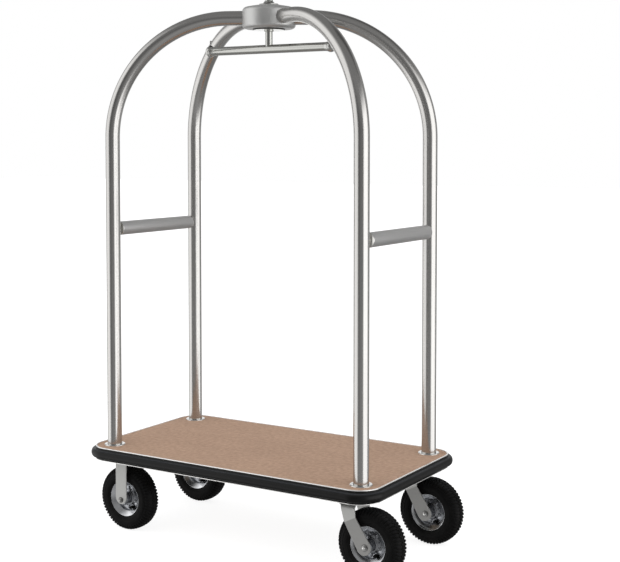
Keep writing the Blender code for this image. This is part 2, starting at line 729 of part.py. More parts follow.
def build_garment_bar(root):
    """Build the hanger post, the garment bar, its end caps and their pegs."""
    post = [
        (0.0, SPIGOT_TOP),
        (SPIGOT_RADIUS, SPIGOT_TOP),
        (SPIGOT_RADIUS, POST_TOP),
        (POST_RADIUS, POST_TOP),
        (POST_RADIUS, BAR_HEIGHT),
        (0.0, BAR_HEIGHT),
    ]
    hanger = add_piece(
        "hanger_post", turned_mesh("hanger_post", post, TURNED_SIDES), BRUSHED_STEEL,
        (0, 0, 0), root,
    )
    saddle_radius = across_flats(BAR_RADIUS + FIT_GAP, TUBE_SIDES)
    reach = POST_RADIUS + CUT_MARGIN
    saddle = cylinder_mesh("post_saddle", saddle_radius, -reach, reach, TUBE_SIDES)
    along_bar = (0.0, math.pi / 2, 0.0)
    cutter = add_helper("post_saddle", saddle, (0.0, 0.0, BAR_HEIGHT), root, along_bar)
    combine(hanger, cutter, "DIFFERENCE")
    path = [(-BAR_TUBE_HALF_LENGTH, 0.0, 0.0), (BAR_TUBE_HALF_LENGTH, 0.0, 0.0)]
    add_tube("garment_bar", path, BAR_RADIUS, BAR_WALL, (0.0, 0.0, BAR_HEIGHT), root)
    for end, sign in ENDS.items():
        build_bar_end(end, sign, root)


def build_bar_end(end, sign, root):
    """Build the domed cap in one end of the garment bar, and the peg that stands on it."""
    plug_radius = (BAR_RADIUS - BAR_WALL) * math.cos(math.pi / TUBE_SIDES) - FIT_GAP
    dome = arc_points((0.0, CAP_FLANGE), (CAP_RADIUS, CAP_DOME), 90, 0, DOME_STEPS)
    cap = [
        *dome,
        (CAP_RADIUS, 0.0),
        (plug_radius, 0.0),
        (plug_radius, -CAP_PLUG),
        (0.0, -CAP_PLUG),
    ]
    face = sign * (BAR_TUBE_HALF_LENGTH + FIT_GAP)
    outward = (0.0, sign * math.pi / 2, 0.0)
    mesh = turned_mesh("bar_end_cap", [(0.0, CAP_FLANGE + CAP_DOME), *cap[1:]], TUBE_SIDES)
    add_piece("bar_end_cap_" + end, mesh, BRUSHED_STEEL, (face, 0.0, BAR_HEIGHT), root, outward)
    boss_top = BAR_HEIGHT + CAP_RADIUS + PEG_BOSS_HEIGHT
    neck_top = boss_top + PEG_NECK_HEIGHT
    head_bulge = arc_points(
        (0.0, neck_top + PEG_HEAD_HEIGHT / 2), (PEG_HEAD_RADIUS, PEG_HEAD_HEIGHT / 2),
        90, PEG_HEAD_LOW_ANGLE, PEG_HEAD_STEPS,
    )
    peg = [
        (0.0, neck_top + PEG_HEAD_HEIGHT),
        *head_bulge[1:],
        (PEG_NECK_RADIUS, neck_top),
        (PEG_NECK_RADIUS, boss_top),
        (PEG_BOSS_CROWN_RADIUS, boss_top),
        (PEG_BOSS_RADIUS, boss_top - PEG_BOSS_CROWN),
        (PEG_BOSS_RADIUS, BAR_HEIGHT),
        (0.0, BAR_HEIGHT),
    ]
    hook = add_piece(
        "hook_peg_" + end, turned_mesh("hook_peg", peg, PEG_SIDES), DARK_STEEL,
        (sign * PEG_X, 0.0, 0.0), root,
    )
    seat = turned_mesh("peg_seat", grown_cap(cap), TUBE_SIDES)
    cutter = add_helper("peg_seat_" + end, seat, (face, 0.0, BAR_HEIGHT), root, outward)
    combine(hook, cutter, "DIFFERENCE")


def grown_cap(cap):
    """Return an end cap's outer shape with the fit gap added, carried back along the bar."""
    radius = across_flats(CAP_RADIUS + FIT_GAP, TUBE_SIDES)
    dome = arc_points((0.0, CAP_FLANGE), (radius, CAP_DOME + FIT_GAP), 90, 0, DOME_STEPS)
    back = cap[-1][1]
    return [(0.0, CAP_FLANGE + CAP_DOME + FIT_GAP), *dome[1:], (radius, back), (0.0, back)]


def tyre_profile():
    """Return the tyre's section about its axle: a round carcass, open to the rim."""
    flats = across_flats(1.0, WHEEL_SIDES)
    shoulder_radius = WHEEL_RADIUS - TYRE_SHOULDER
    bead_radius = RIM_SEAT_RADIUS + FIT_GAP
    wall_radius = (shoulder_radius + RIM_RADIUS) / 2
    flank = RIM_LIP_HALF_WIDTH - RIM_SHEET - FIT_GAP
    lip_side = RIM_RADIUS + FIT_GAP
    inner_tread = WHEEL_RADIUS - TYRE_TREAD_THICKNESS
    inner_half = TYRE_HALF_WIDTH - TYRE_WALL
    half = [
        (WHEEL_RADIUS, TYRE_TREAD_HALF_WIDTH / 2),
        (shoulder_radius + TYRE_SHOULDER / 2, TYRE_TREAD_HALF_WIDTH),
        (wall_radius, TYRE_HALF_WIDTH),
        (lip_side, RIM_LIP_HALF_WIDTH + FIT_GAP),
        (lip_side, flank),
        (bead_radius, flank),
        (bead_radius, flank - TYRE_WALL),
        (wall_radius, inner_half),
        (inner_tread, TYRE_TREAD_HALF_WIDTH - TYRE_WALL),
    ]
    upper = [(radius * flats, width) for radius, width in half]
    lower = [(radius, -width) for radius, width in upper]
    bead_start = len(half) - TYRE_CAVITY_POINTS
    outside = [*reversed(upper[:bead_start]), *lower[:bead_start]]
    cavity = [*lower[bead_start:], *reversed(upper[bead_start:])]
    return [*outside, *cavity]


def rim_profile():
    """Return the rim's section: two lips, a well, a web and a long hub tube."""
    flats = across_flats(1.0, WHEEL_SIDES)
    seat_half = RIM_LIP_HALF_WIDTH - RIM_SHEET
    inner_seat = RIM_SEAT_RADIUS - RIM_SHEET
    web_half = WEB_THICKNESS / 2
    half = [
        (RIM_SEAT_RADIUS, seat_half),
        (RIM_RADIUS, seat_half),
        (RIM_RADIUS, RIM_LIP_HALF_WIDTH),
        (inner_seat, RIM_LIP_HALF_WIDTH),
        (RIM_WELL_RADIUS, web_half),
        (HUB_TUBE_RADIUS, web_half),
        (HUB_TUBE_RADIUS, HUB_TUBE_HALF_LENGTH),
        (BEARING_RADIUS + FIT_GAP, HUB_TUBE_HALF_LENGTH),
    ]
    upper = [(radius * flats, width) for radius, width in half]
    lower = [(radius, -width) for radius, width in upper]
    return [*upper[::-1], *lower]


def build_wheel(place, axle):
    """Build one wheel about its axle: tyre, rim, bearing sleeve and valve stem."""
    half_step = math.pi / WHEEL_SIDES
    tyre = turned_mesh("tyre", tyre_profile(), WHEEL_SIDES, half_step)
    add_piece("tyre_" + place, tyre, TYRE_RUBBER, (0, 0, 0), axle)
    rim = turned_mesh("rim", rim_profile(), WHEEL_SIDES, half_step)
    add_piece("rim_" + place, rim, RIM_STEEL, (0, 0, 0), axle)
    sleeve_half = FORK_HALF_GAP - RUNNING_GAP
    sleeve_bore = across_flats(AXLE_RADIUS + FIT_GAP, TURNED_SIDES)
    sleeve = [
        (BEARING_RADIUS, sleeve_half),
        (BEARING_RADIUS, -sleeve_half),
        (sleeve_bore, -sleeve_half),
        (sleeve_bore, sleeve_half),
    ]
    add_piece(
        "bearing_" + place, turned_mesh("bearing", sleeve, TURNED_SIDES), DARK_STEEL,
        (0, 0, 0), axle,
    )
    base = WEB_THICKNESS / 2 + FIT_GAP
    stem = [
        (0.0, base + VALVE_LENGTH),
        (VALVE_RADIUS, base + VALVE_LENGTH),
        (VALVE_RADIUS, base + VALVE_BASE_HEIGHT),
        (VALVE_BASE_RADIUS, base + VALVE_BASE_HEIGHT),
        (VALVE_BASE_RADIUS, base),
        (0.0, base),
    ]
    angle = math.radians(VALVE_ANGLE)
    seat = (VALVE_RING_RADIUS * math.cos(angle), VALVE_RING_RADIUS * math.sin(angle), 0.0)
    add_piece(
        "valve_stem_" + place, turned_mesh("valve_stem", stem, PEG_SIDES), TYRE_RUBBER, seat, axle
    )


def build_axle(place, axle, head_end):
    """Build the axle bolt and its nut: the head at one end of the axle, the nut at the other."""
    outer = FORK_HALF_GAP + FORK_SHEET + FIT_GAP
    head_top = outer + BOLT_HEAD_HEIGHT
    nut_bottom = -outer - BOLT_HEAD_HEIGHT
    side_turn = (0.0, 0.0 if head_end > 0 else math.pi, 0.0)
    shank = cylinder_mesh(
        "axle_bolt", AXLE_RADIUS, nut_bottom - BOLT_TAIL, head_top - BOLT_HEAD_HEIGHT / 2, BOLT_SIDES
    )
    bolt = add_piece("axle_bolt_" + place, shank, BRIGHT_STEEL, (0, 0, 0), axle, side_turn)
    head = cylinder_mesh("bolt_head", BOLT_HEAD_RADIUS, outer, head_top, HEX_SIDES)
    combine(bolt, add_helper("bolt_head_" + place, head, (0, 0, 0), axle, side_turn), "UNION")
    body = cylinder_mesh("axle_nut", BOLT_HEAD_RADIUS, nut_bottom, -outer, HEX_SIDES)
    nut = add_piece("axle_nut_" + place, body, BRIGHT_STEEL, (0, 0, 0), axle, side_turn)
    thread_radius = across_flats(AXLE_RADIUS + FIT_GAP, BOLT_SIDES)
    thread = cylinder_mesh(
        "nut_thread", thread_radius, nut_bottom - CUT_MARGIN, -outer + CUT_MARGIN, BOLT_SIDES
    )
    combine(nut, add_helper("nut_thread_" + place, thread, (0, 0, 0), axle, side_turn), "DIFFERENCE")


def rigid_leg_outline():
    """Return a rigid fork's leg about the axle: flared into the plate above, round below."""
    half = RIGID_LEG_HALF_WIDTH
    flare = RIGID_LEG_FLARE
    top = CASTER_PLATE_BOTTOM + CASTER_PLATE_THICKNESS / 2 - AXLE_HEIGHT
    flare_start = CASTER_PLATE_BOTTOM - flare - AXLE_HEIGHT
    end_centre = (0.0, half - RIGID_LEG_END_DROP)
    bottom = arc_points(end_centre, (half, half), 180, 360, LEG_ARC_STEPS)
    right = arc_points((half + flare, flare_start), (flare, flare), 180, 90, LEG_ARC_STEPS // 2)
    left = [(-x, z) for x, z in reversed(right)]
    return [(-half - flare, top), *left, *bottom, *right, (half + flare, top)]


def swivel_leg_outline():
    """Return a swivel fork's leg about the axle: round below, then slanting up to the crown.

    The leg's middle line lies a little ahead of the axle and of the kingpin.
    """
    radius = SWIVEL_LEG_END_RADIUS
    top = CROWN_BOTTOM + FORK_SHEET / 2 - AXLE_HEIGHT
    top_left = Vector((-SWIVEL_TRAIL - SWIVEL_LEG_TOP_HALF_WIDTH, top))
    top_right = Vector((-SWIVEL_TRAIL + SWIVEL_LEG_TOP_HALF_WIDTH, top))
    left_tangent = math.degrees(
        math.atan2(top_left.y, top_left.x) + math.acos(radius / top_left.length)
    )
    right_tangent = math.degrees(
        math.atan2(top_right.y, top_right.x) - math.acos(radius / top_right.length)
    )
    end = arc_points((0.0, 0.0), (radius, radius), left_tangent, right_tangent + 360, LEG_ARC_STEPS)
    return [(x - SWIVEL_LEG_OFFSET, z) for x, z in (tuple(top_left), *end, tuple(top_right))]


def add_legs_and_holes(fork, place, outline, axle):
    """Join both legs to a fork, and drill them for the axle."""
    flat = (0.0, 0.0, 0.0)
    for side, sign in SIDES.items():
        leg = slab_mesh("fork_leg", outline, FORK_SHEET)
        shade_round(leg)
        offset = (0.0, 0.0, sign * (FORK_HALF_GAP + FORK_SHEET / 2))
        label = "fork_leg_" + place + "_" + side
        combine(fork, add_helper(label, leg, offset, axle, flat), "UNION")
    hole_radius = across_flats(AXLE_RADIUS + FIT_GAP, BOLT_SIDES)
    reach = FORK_HALF_GAP + FORK_SHEET + CUT_MARGIN
    hole = cylinder_mesh("axle_hole", hole_radius, -reach, reach, BOLT_SIDES)
    combine(fork, add_helper("axle_hole_" + place, hole, (0, 0, 0), axle, flat), "DIFFERENCE")


def build_rigid_caster(side, sign, root):
    """Build a fixed caster: a fork with its own mounting plate, and a wheel."""
    place = "front_" + side
    across = (math.pi / 2, 0.0, 0.0)
    axle = add_empty("axle_" + place, (RIGID_X, sign * RIGID_Y, AXLE_HEIGHT), root, across)
    plate = box_mesh(
        "fork", (CASTER_PLATE_LENGTH, CASTER_PLATE_WIDTH, CASTER_PLATE_THICKNESS)
    )
    plate_middle = CASTER_PLATE_BOTTOM + CASTER_PLATE_THICKNESS / 2
    fork = add_piece(
        "fork_" + place, plate, ZINC_SHEET, (RIGID_X, sign * RIGID_Y, plate_middle), root
    )
    add_legs_and_holes(fork, place, rigid_leg_outline(), axle)
    build_wheel(place, axle)
    build_axle(place, axle, -1)


def build_swivel_head(place, position, root):
    """Build what stays still above a swivel fork: mounting plate, race and kingpin."""
    hole_radius = across_flats(KINGPIN_RADIUS + FIT_GAP, BOLT_SIDES)
    plate_mesh = box_mesh(
        "mount_plate", (CASTER_PLATE_LENGTH, CASTER_PLATE_WIDTH, CASTER_PLATE_THICKNESS),
        (0.0, 0.0, CASTER_PLATE_BOTTOM + CASTER_PLATE_THICKNESS / 2),
    )
    plate = add_piece("mount_plate_" + place, plate_mesh, ZINC_SHEET, position, root)
    hole = cylinder_mesh(
        "kingpin_hole", hole_radius, CROWN_BOTTOM - CUT_MARGIN, CASTER_HEIGHT + CUT_MARGIN,
        BOLT_SIDES,
    )
    drill = add_helper("kingpin_hole_" + place, hole, position, root)
    combine(plate, drill, "DIFFERENCE")
    race_top = CASTER_PLATE_BOTTOM - FIT_GAP
    race_bottom = CROWN_TOP + FIT_GAP
    race_middle = (race_top + race_bottom) / 2
    race = [
        (RACE_RADIUS, race_top),
        (RACE_RADIUS, race_middle + RACE_GROOVE),
        (RACE_RADIUS - RACE_GROOVE, race_middle),
        (RACE_RADIUS, race_middle - RACE_GROOVE),
        (RACE_RADIUS - RACE_GROOVE, race_bottom),
        (hole_radius, race_bottom),
        (hole_radius, race_top),
    ]
    add_piece(
        "swivel_race_" + place, turned_mesh("swivel_race", race, TURNED_SIDES), ZINC_SHEET,
        position, root,
    )
    head_top = CROWN_BOTTOM - FIT_GAP
    kingpin = [
        (0.0, CASTER_HEIGHT),
        (KINGPIN_RADIUS, CASTER_HEIGHT),
        (KINGPIN_RADIUS, head_top),
        (KINGPIN_HEAD_RADIUS, head_top),
        (KINGPIN_HEAD_RADIUS, head_top - KINGPIN_HEAD_HEIGHT),
        (0.0, head_top - KINGPIN_HEAD_HEIGHT),
    ]
    add_piece(
        "kingpin_" + place, turned_mesh("kingpin", kingpin, BOLT_SIDES), BRIGHT_STEEL,
        position, root,
    )
    return drill


def build_swivel_caster(side, sign, root):
    """Build a swivel caster: its fixed head, the slanted fork that turns, and a wheel."""
    place = "rear_" + side
    position = (SWIVEL_X, sign * SWIVEL_Y, 0.0)
    drill = build_swivel_head(place, position, root)
    swivel = add_empty("swivel_" + place, position, root)
    across = (math.pi / 2, 0.0, 0.0)
    axle = add_empty("axle_" + place, (SWIVEL_TRAIL, 0.0, AXLE_HEIGHT), swivel, across)
    crown_width = 2 * (FORK_HALF_GAP + FORK_SHEET)
    crown = box_mesh(
        "fork", (2 * CROWN_HALF_LENGTH, crown_width, FORK_SHEET),
        (0.0, 0.0, CROWN_BOTTOM + FORK_SHEET / 2),
    )
    fork = add_piece("fork_" + place, crown, ZINC_SHEET, (0, 0, 0), swivel)
    add_legs_and_holes(fork, place, swivel_leg_outline(), axle)
    combine(fork, drill, "DIFFERENCE")
    build_wheel(place, axle)
    build_axle(place, axle, 1)


def build_trolley():
    """Build every piece about the deck's middle."""
    root = add_empty("deck_centre", (DECK_CENTRE_X, 0.0, 0.0))
    build_deck(root)
    build_uprights(root)
    build_end_rails(root)
    build_hub(root)
    build_finial(root)
    build_garment_bar(root)
    for side, sign in SIDES.items():
        build_rigid_caster(side, sign, root)
        build_swivel_caster(side, sign, root)


build_trolley()
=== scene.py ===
"""Luggage trolley: the looks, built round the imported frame.

Metres, +Z up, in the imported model's frame. The floor is z = 0, +X is the end with the swivel
casters, here called the rear, and -Y is the left side, which the camera sees.
"""

import logging
from collections.abc import Callable, Mapping, Sequence
from dataclasses import dataclass, field
from enum import Enum
from math import acos, atan2, cos, pi, radians, sin, sqrt, tau
from typing import Any

import bmesh
import bpy
from mathutils import Matrix, Vector


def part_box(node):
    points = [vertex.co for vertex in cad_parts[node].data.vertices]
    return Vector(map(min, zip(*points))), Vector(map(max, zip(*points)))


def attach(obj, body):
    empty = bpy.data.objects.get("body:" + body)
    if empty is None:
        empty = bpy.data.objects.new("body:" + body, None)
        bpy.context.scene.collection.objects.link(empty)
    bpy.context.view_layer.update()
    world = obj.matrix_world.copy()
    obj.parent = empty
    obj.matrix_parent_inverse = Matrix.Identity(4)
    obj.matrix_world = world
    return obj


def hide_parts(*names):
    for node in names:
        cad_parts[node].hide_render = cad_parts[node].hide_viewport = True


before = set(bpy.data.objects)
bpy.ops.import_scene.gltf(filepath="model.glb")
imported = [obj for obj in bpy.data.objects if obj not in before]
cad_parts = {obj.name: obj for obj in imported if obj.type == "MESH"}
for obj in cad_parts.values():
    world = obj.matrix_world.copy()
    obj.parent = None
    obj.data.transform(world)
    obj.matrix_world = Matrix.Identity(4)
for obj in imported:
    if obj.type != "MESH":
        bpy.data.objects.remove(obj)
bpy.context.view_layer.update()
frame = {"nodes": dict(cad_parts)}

Colour = tuple[float, float, float]
Flat = tuple[float, float]
Corner = tuple[float, float, float]

WELD = 1e-6
STRAIGHT = Matrix.Identity(4)
FLIPPED = Matrix.Rotation(pi, 4, "X")
UP = Vector((0.0, 0.0, 1.0))
HEX_STEPS = 36
LUG_SECTION = ((-0.33, -0.4), (-0.29, 0.6), (-0.22, 1.0), (0.22, 1.0), (0.29, 0.6), (0.33, -0.4))
ENDS = {"front": -1, "rear": 1}
SIDES = {"left": -1, "right": 1}
PLACES = [f"{end}_{side}" for end in ENDS for side in SIDES]

log = logging.getLogger("trolley")


class Value:
    """A number, colour or vector on its way through a material's nodes."""

    def __init__(self, graph: "Graph", socket: bpy.types.NodeSocket) -> None:
        """Keep the graph and the output socket that carries the value."""
        self.graph = graph
        self.socket = socket

    def _math(self, operation: str, first: "Value | float", second: "Value | float") -> "Value":
        """Return a Math node's result."""
        return self.graph.node("Math", {"operation": operation}, {0: first, 1: second})

    def __add__(self, other: "Value | float") -> "Value":
        """Return the sum."""
        return self._math("ADD", self, other)

    def __radd__(self, other: float) -> "Value":
        """Return the sum, with a plain number first."""
        return self._math("ADD", other, self)

    def __sub__(self, other: "Value | float") -> "Value":
        """Return the difference."""
        return self._math("SUBTRACT", self, other)

    def __rsub__(self, other: float) -> "Value":
        """Return a plain number less this value."""
        return self._math("SUBTRACT", other, self)

    def __mul__(self, other: "Value | float") -> "Value":
        """Return the product."""
        return self._math("MULTIPLY", self, other)

    def __rmul__(self, other: float) -> "Value":
        """Return the product, with a plain number first."""
        return self._math("MULTIPLY", other, self)


class Graph:
    """The nodes of one material or of the world."""

    def __init__(self, owner: bpy.types.ID, shader: str = "Principled BSDF") -> None:
        """Turn on the owner's nodes, and keep their tree and its shader node.

        Args:
            owner: The material or the world.
            shader: The shader node's name.
        """
        owner.use_nodes = True
        self.tree = owner.node_tree
        self.shader = self.tree.nodes[shader]

    def feed(self, socket: bpy.types.NodeSocket, value: Any) -> None:
        """Link a value to a socket, or set it there if it is plain.

        Args:
            socket: The input.
            value: What goes into it.
        """
        if isinstance(value, Value):
            self.tree.links.new(value.socket, socket)
        else:
            socket.default_value = value

    def node(
        self,
        kind: str,
        settings: Mapping[str, Any],
        sockets: Mapping[str | int, Any],
        output: int = 0,
    ) -> Value:
        """Add one node.

        Args:
            kind: The node's type, without its ShaderNode prefix.
            settings: Its properties; stops are a colour ramp's places and colours.
            sockets: Values or links of its inputs, by name or number.
            output: Which output to return.

        Returns:
            The value at that output.
        """
        made = self.tree.nodes.new("ShaderNode" + kind)
        for name, value in settings.items():
            if name == "stops":
                self._set_stops(made.color_ramp, value)
            else:
                setattr(made, name, value)
        for name, value in sockets.items():
            self.feed(made.inputs[name], value)
        return Value(self, made.outputs[output])

    @staticmethod
    def _set_stops(ramp: bpy.types.ColorRamp, stops: Sequence[tuple[float, Colour]]) -> None:
        """Give a colour ramp its stops.

        Args:
            ramp: The ramp, which starts with two stops.
            stops: Their places and colours.
        """
        for _ in stops[2:]:
            ramp.elements.new(1.0)
        for element, (place, colour) in zip(ramp.elements, stops):
            element.position = place
            element.color = (*colour, 1.0)

    def noise(self, where: Value, scale: float, detail: float = 3.0) -> Value:
        """Return a noise from 0 to 1, with so many blobs to the unit."""
        return self.node("TexNoise", {}, {"Vector": where, "Scale": scale, "Detail": detail})

    def stretched(self, where: Value, factors: Corner) -> Value:
        """Return a vector with each part multiplied."""
        return self.node("VectorMath", {"operation": "MULTIPLY"}, {0: where, 1: factors})

    def cells(self, where: Value, scale: float, output: int) -> Value:
        """Return a cell pattern: 0 for distances from the middles, 1 for each cell's colour."""
        return self.node("TexVoronoi", {"feature": "F1"}, {"Vector": where, "Scale": scale}, output)

    def dot(self, first: Value, second: Corner) -> Value:
        """Return the dot product of two vectors."""
        return self.node("VectorMath", {"operation": "DOT_PRODUCT"}, {0: first, 1: second}, 1)

    def upward(self, vector: Value) -> Value:
        """Return a vector's part along Z."""
        return self.node("SeparateXYZ", {}, {0: vector}, output=2)

    def grain(self) -> Value:
        """Return each point's place on the piece drawn out straight."""
        return self.node("Attribute", {"attribute_name": "grain"}, {}, output=1)

    def here(self) -> Value:
        """Return each point's place in the object's own space."""
        return self.node("TexCoord", {}, {}, output=3)

    def blend(self, amount: Value | float, first: Any, second: Any) -> Value:
        """Mix two colours.

        Args:
            amount: The second colour's share.
            first: The colour at 0.
            second: The colour at 1.

        Returns:
            The colour between them.
        """
        first = first if isinstance(first, Value) else (*first, 1.0)
        second = second if isinstance(second, Value) else (*second, 1.0)
        return self.node("Mix", {"data_type": "RGBA"}, {0: amount, 6: first, 7: second}, output=2)

    def ramp(self, amount: Value, stops: Sequence[tuple[float, Colour]]) -> Value:
        """Return a colour from a ramp."""
        return self.node("ValToRGB", {"stops": stops}, {0: amount})

    def spread(self, amount: Value, low: float, high: float, to: Flat = (0.0, 1.0)) -> Value:
        """Return a value stretched from one range to another, and held inside it."""
        sockets = {0: amount, 1: low, 2: high, 3: to[0], 4: to[1]}
        return self.node("MapRange", {"clamp": True}, sockets)

    def bump(self, height: Value, depth: float, strength: float = 1.0) -> None:
        """Raise the surface by a height, in metres at its highest."""
        sockets = {"Strength": strength, "Distance": depth, "Height": height}
        self.feed(self.shader.inputs["Normal"], self.node("Bump", {}, sockets))

    def set(self, **sockets: Any) -> None:
        """Set or link the shader's sockets, named with underscores for spaces."""
        for name, value in sockets.items():
            self.feed(self.shader.inputs[name.replace("_", " ")], value)


def scaled(colour: Colour, factor: float) -> Colour:
    """Return a colour made lighter or darker."""
    return (colour[0] * factor, colour[1] * factor, colour[2] * factor)


@dataclass(frozen=True)
class Finish:
    """A surface's finish, and how it varies."""

    name: str
    slot: str
    colour: Colour
    roughness: float
    metallic: float = 1.0

    def material(self) -> bpy.types.Material:
        """Make a material with this finish.

        Returns:
            The new material.
        """
        made = bpy.data.materials.new(self.name)
        graph = Graph(made)
        graph.set(Metallic=self.metallic)
        self.shade(graph)
        return made

    def tones(self, graph: Graph, amount: Value, dark: float, pale: float) -> Value:
        """Return the finish's colour, from a darker tone to a paler one."""
        return graph.blend(amount, scaled(self.colour, dark), scaled(self.colour, pale))

    def shade(self, graph: Graph) -> None:
        """Set the shader: here only a soft unevenness.

        Args:
            graph: The material's nodes.
        """
        blotch = graph.noise(graph.here(), 24.0)
        gloss = (self.roughness - 0.03, self.roughness + 0.04)
        graph.set(
            Base_Color=self.tones(graph, blotch, 0.9, 1.08),
            Roughness=graph.spread(blotch, 0.3, 0.7, gloss),
        )


@dataclass(frozen=True)
class Brushed(Finish):
    """Satin metal with fine scratches along its grain."""

    scratches: float = 900.0
    drawn_out: float = 5.0
    depth: float = 0.000012

    def shade(self, graph: Graph) -> None:
        """Lay fine streaks along the grain, and broad soft patches over them.

        Args:
            graph: The material's nodes.
        """
        place = graph.grain()
        fine = (self.scratches, self.scratches, self.drawn_out)
        streak = graph.noise(graph.stretched(place, fine), 1.0, 2.0)
        broad = graph.noise(graph.stretched(place, (30.0, 30.0, 7.0)), 1.0)
        graph.set(
            Base_Color=self.tones(graph, graph.spread(streak, 0.25, 0.75), 0.93, 1.04),
            Roughness=self.roughness - 0.05 + 0.08 * streak + 0.05 * broad,
        )
        graph.bump(streak, self.depth, 0.5)


@dataclass(frozen=True)
class Cast(Finish):
    """A satin casting: fine sandy grain under a soft polish."""

    grain_scale: float = 1400.0

    def shade(self, graph: Graph) -> None:
        """Add a sandy grain, and faint clouds left by the buffing wheel.

        Args:
            graph: The material's nodes.
        """
        place = graph.here()
        sand = graph.noise(place, self.grain_scale, 2.0)
        cloud = graph.noise(place, 26.0)
        graph.set(
            Base_Color=self.tones(graph, cloud, 0.92, 1.06),
            Roughness=self.roughness - 0.06 + 0.07 * sand + 0.06 * cloud,
        )
        graph.bump(sand, 0.00003, 0.5)


@dataclass(frozen=True)
class Polished(Finish):
    """Bright plate with finger smears that only the gloss shows."""

    def shade(self, graph: Graph) -> None:
        """Vary the gloss softly, and leave the colour alone but for a faint haze.

        Args:
            graph: The material's nodes.
        """
        place = graph.here()
        smear = graph.noise(graph.stretched(place, (1.0, 1.0, 0.4)), 45.0, 4.0)
        graph.set(
            Base_Color=self.tones(graph, smear, 0.96, 1.0),
            Roughness=graph.spread(smear, 0.35, 0.75, (self.roughness, self.roughness + 0.09)),
        )


@dataclass(frozen=True)
class Plated(Finish):
    """Dull zinc plate: crystals of slightly different greys, and fine rolling lines."""

    crystal_scale: float = 170.0

    def shade(self, graph: Graph) -> None:
        """Lay crystals, rolling lines and a little grime.

        Args:
            graph: The material's nodes.
        """
        place = graph.here()
        tone = graph.node("RGBToBW", {}, {0: graph.cells(place, self.crystal_scale, 1)})
        rolled = graph.noise(graph.stretched(place, (1.0, 1.0, 0.03)), 1300.0, 2.0)
        grime = graph.noise(place, 16.0, 4.0)
        graph.set(
            Base_Color=self.tint(graph, 0.35 * tone + 0.2 * rolled + 0.45 * grime),
            Roughness=self.roughness - 0.08 + 0.09 * tone + 0.08 * grime,
        )
        graph.bump(rolled, 0.00002, 0.4)

    def tint(self, graph: Graph, mixed: Value) -> Value:
        """Return the plate's colour, from its darker to its lighter crystals."""
        return self.tones(graph, mixed, 0.86, 1.1)


@dataclass(frozen=True)
class BentPlate(Plated):
    """Zinc plate painted lighter above the slanting line where the sheet was bent: painted light
    above the bend, painted shade below it.
    """

    # The paler colour above the bend: painted light.
    lit_colour: Colour = (0.5, 0.5, 0.485)
    slant: float = 0.513
    bend: float = -0.0355

    def tint(self, graph: Graph, mixed: Value) -> Value:
        """Put the painted shade colour below the bend, and the painted light colour above it.

        Args:
            graph: The material's nodes.
            mixed: How light the crystals are.

        Returns:
            The colour.
        """
        # Below the bend the darker tone is painted shade; above it the paler tone is painted light.
        dull = super().tint(graph, mixed)
        lit_colour = graph.blend(mixed, scaled(self.lit_colour, 0.9), scaled(self.lit_colour, 1.06))
        rise = graph.dot(graph.here(), (-self.slant, 0.0, 1.0))
        return graph.blend(graph.spread(rise, self.bend - 0.0008, self.bend + 0.0008), dull, lit_colour)


@dataclass(frozen=True)
class Pile(Finish):
    """Short dense carpet pile: tips and roots, soft mottling, and a trodden nap."""

    tip: Colour = (0.46, 0.298, 0.202)
    fibre_scale: float = 900.0

    def shade(self, graph: Graph) -> None:
        """Mix roots and tips by fibre, tuft and trodden patch, and raise the fibres.

        Args:
            graph: The material's nodes.
        """
        place = graph.here()
        fibre = graph.noise(place, self.fibre_scale, 2.0)
        tuft = graph.cells(place, 420.0, 0)
        mottle = graph.noise(place, 70.0, 3.0)
        trodden = graph.noise(graph.stretched(place, (1.0, 2.2, 1.0)), 4.5, 3.0)
        speck = graph.spread(mottle, 0.3, 0.66)
        amount = 0.25 * fibre + 0.45 * speck + 0.4 * trodden - 0.03
        colour = graph.blend(amount, self.colour, self.tip)
        shade = graph.spread(tuft, 0.0, 0.9, (1.0, 0.0))
        graph.set(
            Base_Color=graph.blend(0.25 * shade, colour, scaled(self.tip, 1.12)),
            Roughness=graph.spread(trodden, 0.3, 0.7, (self.roughness - 0.05, self.roughness)),
            Sheen_Weight=0.1,
            Sheen_Roughness=0.6,
        )
        graph.bump(0.55 * fibre + 0.45 * shade, 0.0009, 0.7)


@dataclass(frozen=True)
class Rubber(Finish):
    """Moulded rubber with a faint bloom, and a paler tone where it faces up: dust, and painted
    sheen.
    """

    bloom: Colour = (0.035, 0.033, 0.031)
    skin_depth: float = 0.00004
    shine: float = 0.5
    # How much the upward faces pale, and their colour: dust, and painted sheen.
    dust_and_sheen_share: float = 0.0
    dust_and_sheen: Colour = (0.062, 0.066, 0.074)

    def shade(self, graph: Graph) -> None:
        """Cloud the black with bloom, pale what faces up with dust and painted sheen, and pit the
        skin finely.

        Args:
            graph: The material's nodes.
        """
        place = graph.here()
        skin = graph.noise(place, 1500.0, 2.0)
        bloom = graph.noise(place, 30.0, 5.0)
        normal = graph.node("NewGeometry", {}, {}, output=1)
        # Paler where the surface faces up: dust, and painted sheen along the bumper's top edge.
        level = graph.spread(graph.upward(normal), 0.55, 0.95)
        black = graph.blend(graph.spread(bloom, 0.45, 0.85), self.colour, self.bloom)
        graph.set(
            Base_Color=graph.blend(self.dust_and_sheen_share * level, black, self.dust_and_sheen),
            Roughness=self.roughness - 0.05 + 0.06 * skin + 0.08 * bloom,
            Specular_IOR_Level=self.shine,
        )
        graph.bump(skin, self.skin_depth, 0.5)


